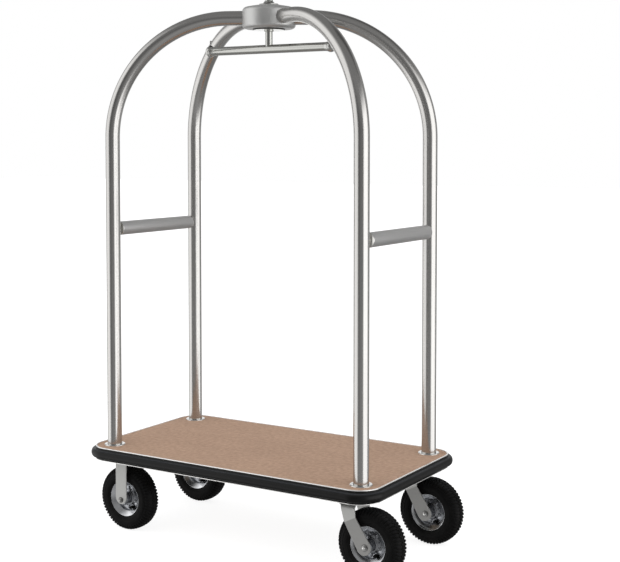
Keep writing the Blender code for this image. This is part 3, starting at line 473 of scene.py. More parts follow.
@dataclass(frozen=True)
class Veneer(Finish):
    """Plywood: long grain with darker latewood lines."""

    dark: Colour = (0.15, 0.11, 0.075)

    def shade(self, graph: Graph) -> None:
        """Draw the grain along the board.

        Args:
            graph: The material's nodes.
        """
        place = graph.stretched(graph.here(), (3.0, 60.0, 60.0))
        grain = graph.noise(place, 1.0, 6.0)
        pore = graph.noise(graph.stretched(graph.here(), (40.0, 1400.0, 1400.0)), 1.0, 2.0)
        graph.set(
            Base_Color=graph.ramp(grain, [(0.35, self.dark), (0.6, self.colour)]),
            Roughness=self.roughness - 0.05 + 0.1 * pore,
        )
        graph.bump(pore, 0.0001, 0.5)


@dataclass(frozen=True)
class Painted(Finish):
    """Sprayed paint with a slight orange peel."""

    def shade(self, graph: Graph) -> None:
        """Ripple the coat, and dull it in patches.

        Args:
            graph: The material's nodes.
        """
        place = graph.here()
        peel = graph.noise(place, 420.0, 1.0)
        dull = graph.noise(place, 14.0, 4.0)
        graph.set(
            Base_Color=self.tones(graph, dull, 1.0, 1.7),
            Roughness=self.roughness - 0.06 + 0.12 * dull,
        )
        graph.bump(peel, 0.00012, 0.4)


class Coat(Enum):
    """The finishes of the trolley: name, slot, colour, roughness, metallic and their own sizes."""

    TUBE = Brushed("tube_steel", "brushed_steel", (0.56, 0.55, 0.535), 0.21)
    BAR = Brushed("bar_steel", "brushed_steel", (0.52, 0.52, 0.495), 0.2)
    RAIL = Brushed("rail_steel", "brushed_steel", (0.44, 0.437, 0.433), 0.4, 0.55)
    TURNED = Brushed("turned_steel", "brushed_steel", (0.56, 0.56, 0.54), 0.24, 1.0, 1400.0, 0.0)
    HUB = Cast("hub_casting", "satin_casting", (0.59, 0.59, 0.58), 0.44, 0.86)
    BRIGHT = Polished("bright_plate", "bright_steel", (0.86, 0.86, 0.84), 0.14)
    MIRROR = Polished("mirror_plate", "bright_steel", (0.88, 0.88, 0.86), 0.03)
    LIP = Polished("lip_plate", "bright_steel", (0.95, 0.935, 0.915), 0.18, 0.6)
    FIXING = Plated("fixing_plate", "bright_steel", (0.42, 0.42, 0.41), 0.4, 0.9)
    END_DISC = Polished("end_disc_plate", "bright_steel", (0.9, 0.9, 0.88), 0.12)
    # Dark steel: real for the clamp plate, bearing and peg boss; on the wheel washers it is painted
    # shadow.
    OILED_AND_SHADOW = Finish("oiled_steel_and_shadow", "dark_steel", (0.03, 0.027, 0.024), 0.36, 0.7)
    ZINC = Plated("zinc_sheet", "zinc_sheet", (0.48, 0.48, 0.465), 0.5, 0.7)
    # The swivel forks' zinc is a darker copy of ZINC as painted shade, and is painted lighter above
    # the bend.
    SHADED_LIT_ZINC = BentPlate("shaded_lit_zinc_sheet", "zinc_sheet", (0.32, 0.317, 0.308), 0.46, 0.75)
    RIM = Plated("rim_sheet", "rim_steel", (0.69, 0.7, 0.72), 0.2, 1.0, 240.0)
    # The recessed dish is a darker copy of the rim's steel: painted shade.
    DISH = Plated("dish_sheet", "rim_steel", (0.36, 0.37, 0.39), 0.26, 1.0, 150.0)
    CARPET = Pile("tan_pile", "carpet_pile", (0.215, 0.12, 0.072), 0.97, 0.0)
    PLYWOOD = Veneer("deck_ply", "plywood", (0.24, 0.185, 0.13), 0.7, 0.0)
    PAINT = Painted("bearer_paint", "black_paint", (0.022, 0.022, 0.022), 0.42, 0.0)
    BUMPER = Rubber(
        "bumper_skin", "bumper_rubber", (0.0044, 0.0043, 0.0042), 0.32, 0.0,
        bloom=(0.0074, 0.0072, 0.007), skin_depth=0.00004, shine=0.2, dust_and_sheen_share=0.35,
    )
    TYRE = Rubber(
        "tyre_skin", "tyre_rubber", (0.0048, 0.0047, 0.0047), 0.52, 0.0,
        bloom=(0.0105, 0.01, 0.0096), skin_depth=0.00009, shine=0.08, dust_and_sheen_share=0.12,
    )


def placed(name: str, data: bpy.types.ID) -> bpy.types.Object:
    """Put a new object in the scene.

    Args:
        name: The object's name.
        data: Its mesh, light or camera.

    Returns:
        The new object.
    """
    made = bpy.data.objects.new(name, data)
    bpy.context.scene.collection.objects.link(made)
    return made


class Bench:
    """Where finished meshes become pieces that ride on the frame."""

    def __init__(self, nodes: Mapping[str, bpy.types.Object]) -> None:
        """Keep the frame's nodes, and start without materials.

        Args:
            nodes: The frame's nodes by name.
        """
        self.nodes = nodes
        self.materials: dict[Coat, bpy.types.Material] = {}
        self.made: list[bpy.types.Object] = []

    def material(self, coat: Coat) -> bpy.types.Material:
        """Look up a finish's material, which is made once.

        Args:
            coat: The finish.

        Returns:
            Its material.
        """
        if coat not in self.materials:
            self.materials[coat] = coat.value.material()
        return self.materials[coat]

    def piece(
        self,
        name: str,
        mesh: bpy.types.Mesh,
        coat: Coat,
        body: str = "frame",
        stands_for: Sequence[str] = (),
        place: Matrix = STRAIGHT,
    ) -> None:
        """Add one piece of the trolley.

        Args:
            name: The piece's name.
            mesh: Its shape, which several pieces may share.
            coat: Its finish.
            body: The body that it moves with.
            stands_for: The frame's nodes that it replaces.
            place: Where its mesh goes.
        """
        made = placed(name, mesh)
        made.matrix_world = place
        if not mesh.materials:
            mesh.materials.append(self.material(coat))
        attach(made, body)
        if stands_for:
            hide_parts(*stands_for)
        self.made.append(made)

    def recoat(self, node: str, coat: Coat) -> None:
        """Give one of the frame's own nodes its finish.

        Args:
            node: The node's name.
            coat: The finish.
        """
        mesh = self.nodes[node].data
        mesh.materials.clear()
        mesh.materials.append(self.material(coat))


def spaced(start: float, stop: float, steps: int) -> list[float]:
    """Return evenly spaced values from start to stop, both included."""
    return [start + (stop - start) * step / steps for step in range(steps + 1)]


def softened(corners: Sequence[Corner], steps: int = 4, closed: bool = False) -> list[Flat]:
    """Round the corners of an outline.

    Args:
        corners: Each corner, with how far along its sides the round reaches.
        steps: Straight pieces in each round.
        closed: Whether the last corner joins the first.

    Returns:
        The outline's points.
    """
    points: list[Flat] = []
    for index, (x, y, reach) in enumerate(corners):
        at_end = not closed and index in (0, len(corners) - 1)
        if at_end or reach <= 0:
            points.append((x, y))
            continue
        here = Vector((x, y))
        before = Vector(corners[index - 1][:2])
        after = Vector(corners[(index + 1) % len(corners)][:2])
        start = here + (before - here).normalized() * reach
        stop = here + (after - here).normalized() * reach
        for share in spaced(0.0, 1.0, steps):
            point = start.lerp(here, share).lerp(here.lerp(stop, share), share)
            points.append((point.x, point.y))
    return points


def mirrored(corners: Sequence[Corner], steps: int = 4) -> list[Flat]:
    """Soften the upper half of a profile, and lead it with its mirror image.

    Args:
        corners: The half's corners, as softened takes them.
        steps: Straight pieces in each round.

    Returns:
        The whole profile, from the lower half's end to the upper half's.
    """
    upper = softened(corners, steps)
    return [(radius, -height) for radius, height in reversed(upper) if height > 0] + upper


def arc(centre: Flat, reach: Flat, start: float, stop: float, steps: int) -> list[Flat]:
    """Draw part of an ellipse.

    Args:
        centre: Its middle.
        reach: Its half widths along the first and the second axis.
        start: Where it starts, turned from the first axis.
        stop: Where it ends.
        steps: Straight pieces between them.

    Returns:
        Its points.
    """
    return [
        (centre[0] + reach[0] * cos(turn), centre[1] + reach[1] * sin(turn))
        for turn in spaced(start, stop, steps)
    ]


def puck(radius: float, low: float, high: float) -> list[Flat]:
    """Return the profile of a plain disc between two heights."""
    return [(0.0, low), (radius, low), (radius, high), (0.0, high)]


def circle(radius: float, height: float, steps: int) -> list[Vector]:
    """Return points round the local Z axis."""
    turns = [tau * step / steps for step in range(steps)]
    return [Vector((radius * cos(turn), radius * sin(turn), height)) for turn in turns]


def hexagon(radius: float, limit: float, height: float) -> list[Vector]:
    """Draw a hexagon round the local Z axis, its corners turned down.

    Args:
        radius: To the corners, were they sharp.
        limit: The radius that they are turned down to.
        height: Where it lies.

    Returns:
        Its points.
    """
    points = []
    for step in range(HEX_STEPS):
        turn = tau * step / HEX_STEPS
        reach = radius * cos(pi / 6) / cos(turn % (pi / 3) - pi / 6)
        reach = min(reach, limit)
        points.append(Vector((reach * cos(turn), reach * sin(turn), height)))
    return points


def rounded_box(length: float, width: float, radius: float, steps: int) -> list[tuple[Flat, Flat]]:
    """Draw a rounded rectangle about the origin.

    Args:
        length: Along X.
        width: Along Y.
        radius: Of the corners.
        steps: Straight pieces in each corner.

    Returns:
        Its points with their outward directions, turning left.
    """
    pairs = []
    for side_x, side_y, start in ((1, 1, 0.0), (-1, 1, 0.5), (-1, -1, 1.0), (1, -1, 1.5)):
        centre_x = side_x * (length / 2 - radius)
        centre_y = side_y * (width / 2 - radius)
        for turn in spaced(start * pi, (start + 0.5) * pi, steps):
            out = (cos(turn), sin(turn))
            pairs.append(((centre_x + radius * out[0], centre_y + radius * out[1]), out))
    return pairs


class Skin:
    """A mesh being sewn from rings of points.

    Each point keeps its grain, its place once the piece is drawn out straight, so that a brushed
    finish can follow a bent tube. Each sewing method returns the skin, so that one can follow
    another.
    """

    def __init__(self) -> None:
        """Start empty."""
        self.points: list[Vector] = []
        self.grain: list[Vector] = []
        self.faces: list[tuple[int, ...]] = []

    def rings(
        self,
        rings: Sequence[Sequence[Vector]],
        place: Matrix = STRAIGHT,
        grain: Sequence[Sequence[Vector]] | None = None,
        looped: bool = False,
    ) -> "Skin":
        """Sew rings of equal counts into the skin.

        Args:
            rings: The rings in order, before they are placed.
            place: Where they go.
            grain: Each point's place on the straight piece; the point itself if left out.
            looped: Whether the last ring joins the first. If not, both ends are closed.

        Returns:
            This skin.
        """
        base = len(self.points)
        count = len(rings[0])
        for ring in rings:
            self.points.extend(place @ point for point in ring)
        for ring in grain or rings:
            self.grain.extend(ring)
        for span in range(len(rings) if looped else len(rings) - 1):
            low = base + span * count
            high = base + (span + 1) % len(rings) * count
            for side in range(count):
                other = (side + 1) % count
                self.faces.append((low + side, low + other, high + other, high + side))
        if not looped:
            top = base + (len(rings) - 1) * count
            self.faces.append(tuple(base + side for side in reversed(range(count))))
            self.faces.append(tuple(top + side for side in range(count)))
        return self

    def turned(
        self,
        profile: Sequence[Flat],
        steps: int,
        place: Matrix = STRAIGHT,
        looped: bool = False,
    ) -> "Skin":
        """Turn a profile of radius and height about the local Z axis.

        Args:
            profile: The profile's points.
            steps: How many sides the turned shape has.
            place: Where it goes.
            looped: Whether the profile closes on itself, as one with a bore does.

        Returns:
            This skin.
        """
        rings = [circle(radius, height, steps) for radius, height in profile]
        grain = [[Vector((radius, height, 0.0))] * steps for radius, height in profile]
        return self.rings(rings, place, grain, looped)

    def tube(self, path: Sequence[Vector], across: Vector, radius: float, sides: int) -> "Skin":
        """Draw a round tube along a flat path.

        Args:
            path: The tube's axis.
            across: A unit vector square to the whole path.
            radius: The tube's outer radius.
            sides: How many sides it has.

        Returns:
            This skin.
        """
        rings, grain = [], []
        travelled = 0.0
        for index, point in enumerate(path):
            before = path[max(index - 1, 0)]
            after = path[min(index + 1, len(path) - 1)]
            travelled += (point - before).length
            beside = (after - before).normalized().cross(across)
            section = circle(radius, travelled, sides)
            rings.append([point + spot.x * beside + spot.y * across for spot in section])
            grain.append(section)
        return self.rings(rings, grain=grain)

    def swept(
        self, path: Sequence[tuple[Flat, Flat]], section: Sequence[Flat], place: Matrix
    ) -> "Skin":
        """Sweep a closed section along a level path that closes on itself.

        Args:
            path: Each point with its outward direction.
            section: The section's points, outward and up.
            place: Where the path's origin goes.

        Returns:
            This skin.
        """
        rings, grain = [], []
        travelled = 0.0
        before = Vector(path[0][0])
        for (x, y), (out_x, out_y) in path:
            travelled += (Vector((x, y)) - before).length
            before = Vector((x, y))
            rings.append([Vector((x + out_x * out, y + out_y * out, up)) for out, up in section])
            grain.append([Vector((out, up, travelled)) for out, up in section])
        return self.rings(rings, place, grain, looped=True)

    def slab(
        self, size: Corner, steps: int, section: Sequence[Flat], place: Matrix = STRAIGHT
    ) -> "Skin":
        """Build a level slab with rounded corners and shaped edges.

        Args:
            size: Its length, width and corner radius.
            steps: Straight pieces in each corner.
            section: The edge's inset and height, from bottom to top.
            place: Where it goes.

        Returns:
            This skin.
        """
        length, width, radius = size
        rings = []
        for inset, height in section:
            pairs = rounded_box(length - 2 * inset, width - 2 * inset, radius - inset, steps)
            rings.append([Vector((*spot, height)) for spot, _ in pairs])
        return self.rings(rings, place)

    def mesh(self, name: str, crease: float = 32.0) -> bpy.types.Mesh:
        """Finish the mesh, smooth but for its sharp edges.

        Args:
            name: The mesh's name.
            crease: The angle in degrees beyond which an edge stays sharp.

        Returns:
            The new mesh.
        """
        made = bpy.data.meshes.new(name)
        made.from_pydata(self.points, [], self.faces)
        layer = made.attributes.new("grain", "FLOAT_VECTOR", "POINT")
        layer.data.foreach_set("vector", [part for place in self.grain for part in place])
        shape = bmesh.new()
        shape.from_mesh(made)
        bmesh.ops.remove_doubles(shape, verts=shape.verts, dist=WELD)
        bmesh.ops.dissolve_degenerate(shape, dist=WELD, edges=shape.edges)
        bmesh.ops.recalc_face_normals(shape, faces=shape.faces)
        shape.to_mesh(made)
        shape.free()
        made.shade_smooth()
        made.set_sharp_from_angle(angle=radians(crease))
        return made


def middle(node: str) -> Vector:
    """Return the middle of a frame node's box."""
    low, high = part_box(node)
    return (low + high) / 2


def above(node: str, height: float = 0.0) -> Matrix:
    """Return the place at a height on the upright line through a node's middle."""
    spot = middle(node)
    return Matrix.Translation((spot.x, spot.y, height))


def hex_bolt(skin: Skin, radius: float, height: float, place: Matrix) -> None:
    """Add a hexagon head on its washer, standing up from a seat.

    Args:
        skin: What it is sewn to.
        radius: To the head's corners.
        height: Of the head.
        place: The seat's middle, with local Z away from it.
    """
    washer = height * 0.22
    skin.turned(puck(radius * 1.2, 0.0, washer), 32, place)
    skin.rings(
        [
            hexagon(radius, radius, washer),
            hexagon(radius, radius, height * 0.86),
            hexagon(radius * 0.985, radius * 0.93, height * 0.95),
            hexagon(radius * 0.9, radius * 0.82, height),
            circle(radius * 0.5, height * 1.02, HEX_STEPS),
        ],
        place,
    )


@dataclass
class Deck:
    """Carpeted board in a steel channel, with a rubber bumper round it."""

    bench: Bench
    corner: float = 0.075
    corner_steps: int = 24
    lip_edge: float = 0.0008
    lip_width: float = 0.0045
    lip_thickness: float = 0.0025
    channel_wall: float = 0.002
    channel_depth: float = 0.012
    channel_heel: float = 0.0015
    bed_gap: float = 0.0002
    carpet_edge: float = 0.0018
    carpet_gap: float = 0.0003
    carpet_corner_steps: int = 16
    groove: float = 0.0062
    groove_root: float = -0.0022
    groove_neck: float = 0.0009
    shoulder: float = 0.0065
    ring_bore: float = 0.0256
    ring_edge: float = 0.0015
    bolt_radius: float = 0.0075
    bolt_height: float = 0.0048
    bolt_columns: tuple[float, ...] = (-0.06, 0.06)
    bolt_rows: tuple[float, ...] = (-0.14, -0.05, 0.05, 0.14)

    def __post_init__(self) -> None:
        """Take the deck's size from the frame."""
        low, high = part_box("edge_channel")
        self.place = above("edge_channel")
        self.length, self.width = high.x - low.x, high.y - low.y
        self.bottom, self.top = low.z, high.z
        self.proud = low.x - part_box("bumper")[0].x

    def build(self) -> None:
        """Build every piece of the deck."""
        self.carpet()
        self.channel()
        self.bumper()
        self.escutcheons()
        self.underside()

    def carpet(self) -> None:
        """Lay the carpet, its cut edge turned down a little."""
        low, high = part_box("deck_carpet")
        inset, edge = self.lip_width + self.carpet_gap, self.carpet_edge
        size = (self.length - 2 * inset, self.width - 2 * inset, self.corner - inset)
        section = [
            (0.0, low.z),
            (0.0, high.z - edge),
            (edge * 0.3, high.z - edge * 0.3),
            (edge, high.z),
            (edge * 4, high.z),
        ]
        mesh = Skin().slab(size, self.carpet_corner_steps, section, self.place).mesh("carpet")
        self.bench.piece("carpet", mesh, Coat.CARPET, stands_for=["deck_carpet"])

    def sweep(
        self, name: str, section: Sequence[Flat], coat: Coat, node: str, crease: float = 32.0
    ) -> None:
        """Sweep a section round the lips' outer edge.

        Args:
            name: The piece's and its mesh's name.
            section: The section's points, outward from the edge and up.
            coat: The finish.
            node: The frame's node that it replaces.
            crease: The angle in degrees beyond which an edge stays sharp.
        """
        path = rounded_box(self.length, self.width, self.corner, self.corner_steps)
        mesh = Skin().swept(path, section, self.place).mesh(name, crease)
        self.bench.piece(name, mesh, coat, stands_for=[node])

    def channel(self) -> None:
        """Sweep the steel channel that holds the bumper."""
        lip, wall, edge = self.lip_thickness, self.channel_wall, self.lip_edge
        depth, bottom, top = self.channel_depth, self.bottom, self.top
        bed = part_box("deck_carpet")[0].z - self.bed_gap
        section = [
            (0.0, top, edge),
            (0.0, top - lip, edge * 0.6),
            (-lip, top - lip, 0.0),
            (-lip, bed - wall, 0.0),
            (wall - depth, bed - wall, edge),
            (wall - depth, bottom + lip, edge),
            (0.0, bottom + lip, edge * 0.6),
            (0.0, bottom, edge),
            (-depth, bottom, self.channel_heel),
            (-depth, bed, edge),
            (-self.lip_width, bed, 0.0),
            (-self.lip_width, top, edge),
        ]
        self.sweep("rim_channel", softened(section, closed=True), Coat.LIP, "edge_channel")

    def bumper(self) -> None:
        """Sweep the bumper: a round nose set off from the lips by a groove above and below."""
        low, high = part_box("bumper")
        half, mid = (high.z - low.z) / 2, (high.z + low.z) / 2
        nose_half = half - self.groove
        root, neck = self.groove_root, self.groove_neck
        reach = (self.proud - self.shoulder, nose_half)
        nose = arc((self.shoulder, mid), reach, pi / 2, -pi / 2, 18)
        groove = [
            (root, half - 0.0002),
            (neck - 0.0005, half - 0.0002),
            (neck, half - 0.0008),
            (neck, nose_half + 0.0006),
            (neck + 0.0006, nose_half),
        ]
        upper = [(out, mid + up) for out, up in groove]
        lower = [(out, mid - up) for out, up in reversed(groove)]
        self.sweep("rubber_bumper", [*upper, *nose, *lower], Coat.BUMPER, "bumper", 50.0)

    def escutcheons(self) -> None:
        """Turn the bright rings round the uprights' feet."""
        low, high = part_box("escutcheon_front_left")
        radius, height = (high.x - low.x) / 2, high.z - low.z
        bore, edge = self.ring_bore, self.ring_edge
        profile = softened([
            (bore, 0.0, 0.0),
            (bore, height, 0.0008),
            (radius - edge, height, 0.0012),
            (radius, height - edge, 0.0012),
            (radius, 0.0, 0.0),
        ])
        mesh = Skin().turned(profile, 64, looped=True).mesh("foot_ring")
        for place in PLACES:
            node = "escutcheon_" + place
            seat = above(node, low.z)
            self.bench.piece("foot_ring_" + place, mesh, Coat.MIRROR, "frame", [node], seat)

    def underside(self) -> None:
        """Finish the board and its bearers, and bolt the bearers up."""
        self.bench.recoat("deck_board", Coat.PLYWOOD)
        for end in ENDS:
            bearer = "caster_bearer_" + end
            self.bench.recoat(bearer, Coat.PAINT)
            spot, bottom = middle(bearer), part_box(bearer)[0].z
            skin = Skin()
            for row in self.bolt_rows:
                for column in self.bolt_columns:
                    seat = Matrix.Translation((spot.x + column, row, bottom)) @ FLIPPED
                    hex_bolt(skin, self.bolt_radius, self.bolt_height, seat)
            self.bench.piece("bearer_bolts_" + end, skin.mesh("bearer_bolts"), Coat.BRIGHT)


@dataclass
class Birdcage:
    """The four bent uprights and the two end rails."""

    bench: Bench
    tube_radius: float = 0.025
    arch_radius: float = 0.40996
    arch_height: float = 1.788
    hub_entry: float = 0.0615
    arch_steps: int = 56
    sides: int = 56
    rail_gap: float = 0.009
    rail_edge: float = 0.0012
    disc_rise: float = 0.0012
    stud_radius: float = 0.005

    def build(self) -> None:
        """Build the uprights and the rails."""
        for place in PLACES:
            self.upright(place)
        for end in ENDS:
            self.rail(end)

    def upright(self, place: str) -> None:
        """Bend one tube from its foot over to the hub.

        Args:
            place: Which corner of the trolley it stands on.
        """
        node = "upright_" + place
        centre = above("crown_hub").to_translation()
        flat = above("escutcheon_" + place).to_translation() - centre
        reach, outward = flat.length, flat.normalized()
        spring = self.arch_height - self.arch_radius
        bend = centre + outward * (reach - self.arch_radius) + UP * spring
        path = [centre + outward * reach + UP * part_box(node)[0].z]
        for turn in spaced(0.0, pi / 2, self.arch_steps):
            path.append(bend + self.arch_radius * (cos(turn) * outward + sin(turn) * UP))
        path.append(centre + outward * self.hub_entry + UP * self.arch_height)
        mesh = Skin().tube(path, outward.cross(UP), self.tube_radius, self.sides).mesh("arch_tube")
        self.bench.piece("arch_tube_" + place, mesh, Coat.TUBE, stands_for=[node])

    def rail(self, end: str) -> None:
        """Turn one end rail with its bright end discs and studs.

        Args:
            end: Which end of the trolley.
        """
        node = "end_rail_" + end
        low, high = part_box(node)
        radius, edge, rise = (high.x - low.x) / 2, self.rail_edge, self.disc_rise
        upright = abs(middle("escutcheon_front_left").y)
        half = upright - self.tube_radius - self.rail_gap
        along = Matrix.Translation(middle(node)) @ Matrix.Rotation(pi / 2, 4, "X")
        profile = softened(
            [(0.0, -half, 0.0), (radius, -half, edge), (radius, half, edge), (0.0, half, 0.0)], 3
        )
        tube = Skin().rings([circle(r, height, self.sides) for r, height in profile], along)
        self.bench.piece("rail_tube_" + end, tube.mesh("rail_tube"), Coat.RAIL, stands_for=[node])
        face = softened([
            (0.0, rise, 0.0),
            (radius - 0.0012, rise, 0.0005),
            (radius - 0.0006, 0.0, 0.0),
            (0.0, -0.001, 0.0),
        ], 3)
        stud = puck(self.stud_radius, 0.0, upright - half - self.tube_radius * 0.8)
        for side, sign in SIDES.items():
            outward = Matrix.Rotation(0.0 if sign < 0 else pi, 4, "Y")
            seat = along @ outward @ Matrix.Translation((0.0, 0.0, half))
            name = f"{end}_{side}"
            mesh = Skin().turned(face, self.sides, seat).mesh("rail_end_disc")
            self.bench.piece("rail_end_disc_" + name, mesh, Coat.END_DISC)
            mesh = Skin().turned(stud, 32, seat).mesh("rail_stud")
            self.bench.piece("rail_stud_" + name, mesh, Coat.BRIGHT)


@dataclass
class Crown:
    """The cast hub, its clamp plate, the finial above and the post below."""

    bench: Bench
    crown_rise: float = 0.0075
    upper_edge: float = 0.016
    lower_edge: float = 0.0135
    seat_radius: float = 0.036
    stem_radius: float = 0.0135
    collar_flange: float = 0.003
    post_radius: float = 0.0125
    post_flange: float = 0.0035

    def build(self) -> None:
        """Build the hub and what it holds."""
        self.hub()
        self.clamp_plate()
        self.finial()
        self.post()

    def turn(
        self, name: str, profile: Sequence[Flat], steps: int, coat: Coat, nodes: Sequence[str] = ()
    ) -> None:
        """Turn one piece about the hub's axis, and name its mesh after it.

        Args:
            name: The piece's name.
            profile: Its profile.
            steps: How many sides it has.
            coat: Its finish.
            nodes: The frame's nodes that it replaces.
        """
        mesh = Skin().turned(profile, steps, above("crown_hub")).mesh(name)
        self.bench.piece(name, mesh, coat, stands_for=nodes)

    def hub(self) -> None:
        """Turn the drum: soft edges, a flat underside and a gently crowned top."""
        low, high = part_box("crown_hub")
        radius, shoulder = (high.x - low.x) / 2, high.z - self.crown_rise
        upper, lower, seat = self.upper_edge, self.lower_edge, self.seat_radius
        top = arc((radius - upper, shoulder - upper), (upper, upper), pi / 2 - 0.16, 0.0, 16)
        bottom = arc((radius - lower, low.z + lower), (lower, lower), 0.0, -pi / 2, 16)
        crown = softened([(seat * 0.7, high.z, 0.0), (seat, high.z, 0.006), (*top[0], 0.0)], 8)
        profile = [(0.0, high.z), *crown[:-1], *top, *bottom, (0.0, low.z)]
        self.turn("crown", profile, 160, Coat.HUB, ["crown_hub"])

    def clamp_plate(self) -> None:
        """Turn the dark plate under the hub, and its bright underside."""
        low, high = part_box("hub_clamp_plate")
        radius = (high.x - low.x) / 2
        profile = softened([
            (0.0, low.z, 0.0),
            (radius - 0.004, low.z, 0.002),
            (radius, low.z + 0.0015, 0.0008),
            (radius, high.z, 0.0006),
            (0.0, high.z, 0.0),
        ])
        self.turn("clamp_plate", profile, 72, Coat.OILED_AND_SHADOW, ["hub_clamp_plate"])
        under, over = low.z - 0.0002, low.z + 0.0004
        face = [(0.0, under), (radius - 0.0035, under), (radius - 0.0032, over), (0.0, over)]
        self.turn("clamp_plate_face", face, 72, Coat.BRIGHT)

    def finial(self) -> None:
        """Turn the flared collar, and the stem and ball above it."""
        low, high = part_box("finial_collar")
        radius, stem, flange = (high.x - low.x) / 2, self.stem_radius, self.collar_flange
        foot = [
            (0.0, low.z),
            (radius - 0.0006, low.z),
            (radius, low.z + 0.0008),
            (radius, low.z + 0.0022),
            (radius - 0.0006, low.z + flange),
        ]
        cove = [
            (
                stem + (radius - 0.002 - stem) * (1 - sin(turn)) ** 1.3,
                low.z + flange + (high.z - low.z - flange) * (1 - cos(turn)) ** 0.8,
            )
            for turn in spaced(0.0, pi / 2, 14)
        ]
        self.turn("collar", [*foot, *cove, (0.0, high.z)], 64, Coat.TURNED, ["finial_collar"])
        low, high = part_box("finial")
        ball = (high.x - low.x) / 2
        heart = high.z - ball
        neck = heart - sqrt(ball**2 - stem**2)
        waist, bead = stem * 0.92, stem * 1.16
        profile = [
            *arc((0.0, heart), (ball, ball), pi / 2, atan2(stem, heart - neck) + 0.05 - pi / 2, 26),
            (waist, neck - 0.0005),
            (waist, neck - 0.003),
            *softened([
                (waist, neck - 0.004, 0.0),
                (bead, neck - 0.004, 0.0012),
                (bead, neck - 0.0075, 0.0012),
                (waist, neck - 0.0075, 0.0),
            ], 3),
            (stem, neck - 0.012),
            (stem, low.z + 0.001),
            (stem - 0.001, low.z),
            (0.0, low.z),
        ]
        self.turn("finial_ball", profile, 56, Coat.TURNED, ["finial"])

    def post(self) -> None:
        """Turn the hanger post from the garment bar up to the clamp plate."""
        radius, wide = self.post_radius, self.post_radius + self.post_flange
        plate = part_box("hub_clamp_plate")[0].z
        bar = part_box("garment_bar")[0].z + GarmentBar.radius
        profile = softened([
            (0.0, bar, 0.0),
            (radius, bar, 0.0),
            (radius, plate - 0.0055, 0.0),
            (wide, plate - 0.0045, 0.001),
            (wide, plate - 0.0002, 0.0005),
            (0.0, plate - 0.0002, 0.0),
        ])
        self.turn("post", profile, 48, Coat.BAR, ["hanger_post"])


@dataclass
class GarmentBar:
    """The bar that clothes hang from, with a domed cap and a peg at each end."""

    bench: Bench
    radius: float = 0.015
    cap_radius: float = 0.0195
    cap_flange: float = 0.005
    cap_dome: float = 0.016
    skirt: float = 0.014
    pin_radius: float = 0.0022
    pin_length: float = 0.007
    pin_head: float = 0.011
    boss_radius: float = 0.0075
    boss_dome: float = 0.0045

    def build(self) -> None:
        """Build the bar, its caps and its pegs."""
        low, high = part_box("garment_bar")
        spot, half = (low + high) / 2, (high.x - low.x) / 2
        along = Matrix.Translation(spot) @ Matrix.Rotation(pi / 2, 4, "Y")
        rings = [circle(self.radius, height, 48) for height in (-half, half)]
        mesh = Skin().rings(rings, along).mesh("hang_bar")
        self.bench.piece("hang_bar", mesh, Coat.BAR, stands_for=["garment_bar"])
        for end, sign in ENDS.items():
            outward = Matrix.Rotation(sign * pi / 2, 4, "Y")
            self.cap(end, Matrix.Translation(spot + Vector((sign * half, 0.0, 0.0))) @ outward)
            self.peg(end)

    def cap(self, end: str, face: Matrix) -> None:
        """Turn one end cap: a skirt over the tube, a groove, a flange and a dome.

        Args:
            end: Which end of the bar.
            face: The bar's end, with local Z outward.
        """
        big, flange, skirt = self.cap_radius, self.cap_flange, self.skirt
        profile = softened([
            (self.radius * 0.9, -skirt, 0.0),
            (self.radius + 0.0004, -skirt, 0.0002),
            (self.radius + 0.001, -skirt * 0.55, 0.003),
            (big - 0.0012, -0.0012, 0.0012),
            (big - 0.002, -0.0004, 0.0002),
            (big - 0.002, 0.0004, 0.0002),
            (big, 0.0012, 0.0005),
            (big, flange, 0.0008),
        ])
        dome = arc((0.0, flange), (big, self.cap_dome), 0.05, pi / 2, 14)
        mesh = Skin().turned([(0.0, -skirt), *profile, *dome], 48, face).mesh("bar_cap")
        self.bench.piece("bar_cap_" + end, mesh, Coat.TURNED, stands_for=["bar_end_cap_" + end])

    def peg(self, end: str) -> None:
        """Turn one peg: a dark domed boss, and a thin paler pin with a small long head.

        Args:
            end: Which end of the bar.
        """
        node = "hook_peg_" + end
        low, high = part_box(node)
        seat = above(node)
        thin, wide, dome = self.pin_radius, self.boss_radius, self.boss_dome
        head = high.z - self.pin_head
        boss = head - self.pin_length
        soft = arc((thin, boss - dome), (wide - thin, dome), 0.0, pi / 2, 8)
        profile = [(0.0, low.z), (wide, low.z), *soft, (0.0, boss)]
        mesh = Skin().turned(profile, 28, seat).mesh("peg_boss")
        self.bench.piece("peg_boss_" + end, mesh, Coat.OILED_AND_SHADOW)
        swell = [
            (thin + 0.002 * sin(turn) ** 0.7, head + 0.0095 * turn / pi)
            for turn in spaced(0.0, pi * 0.82, 10)
        ]
        crown = arc((0.0, head + 0.0078), (0.0034, 0.0032), 0.1, pi / 2, 6)
        profile = [(0.0, boss - 0.001), (thin, boss - 0.001), (thin, head), *swell, *crown]
        mesh = Skin().turned(profile, 28, seat).mesh("peg")
        self.bench.piece("peg_" + end, mesh, Coat.FIXING, stands_for=[node])


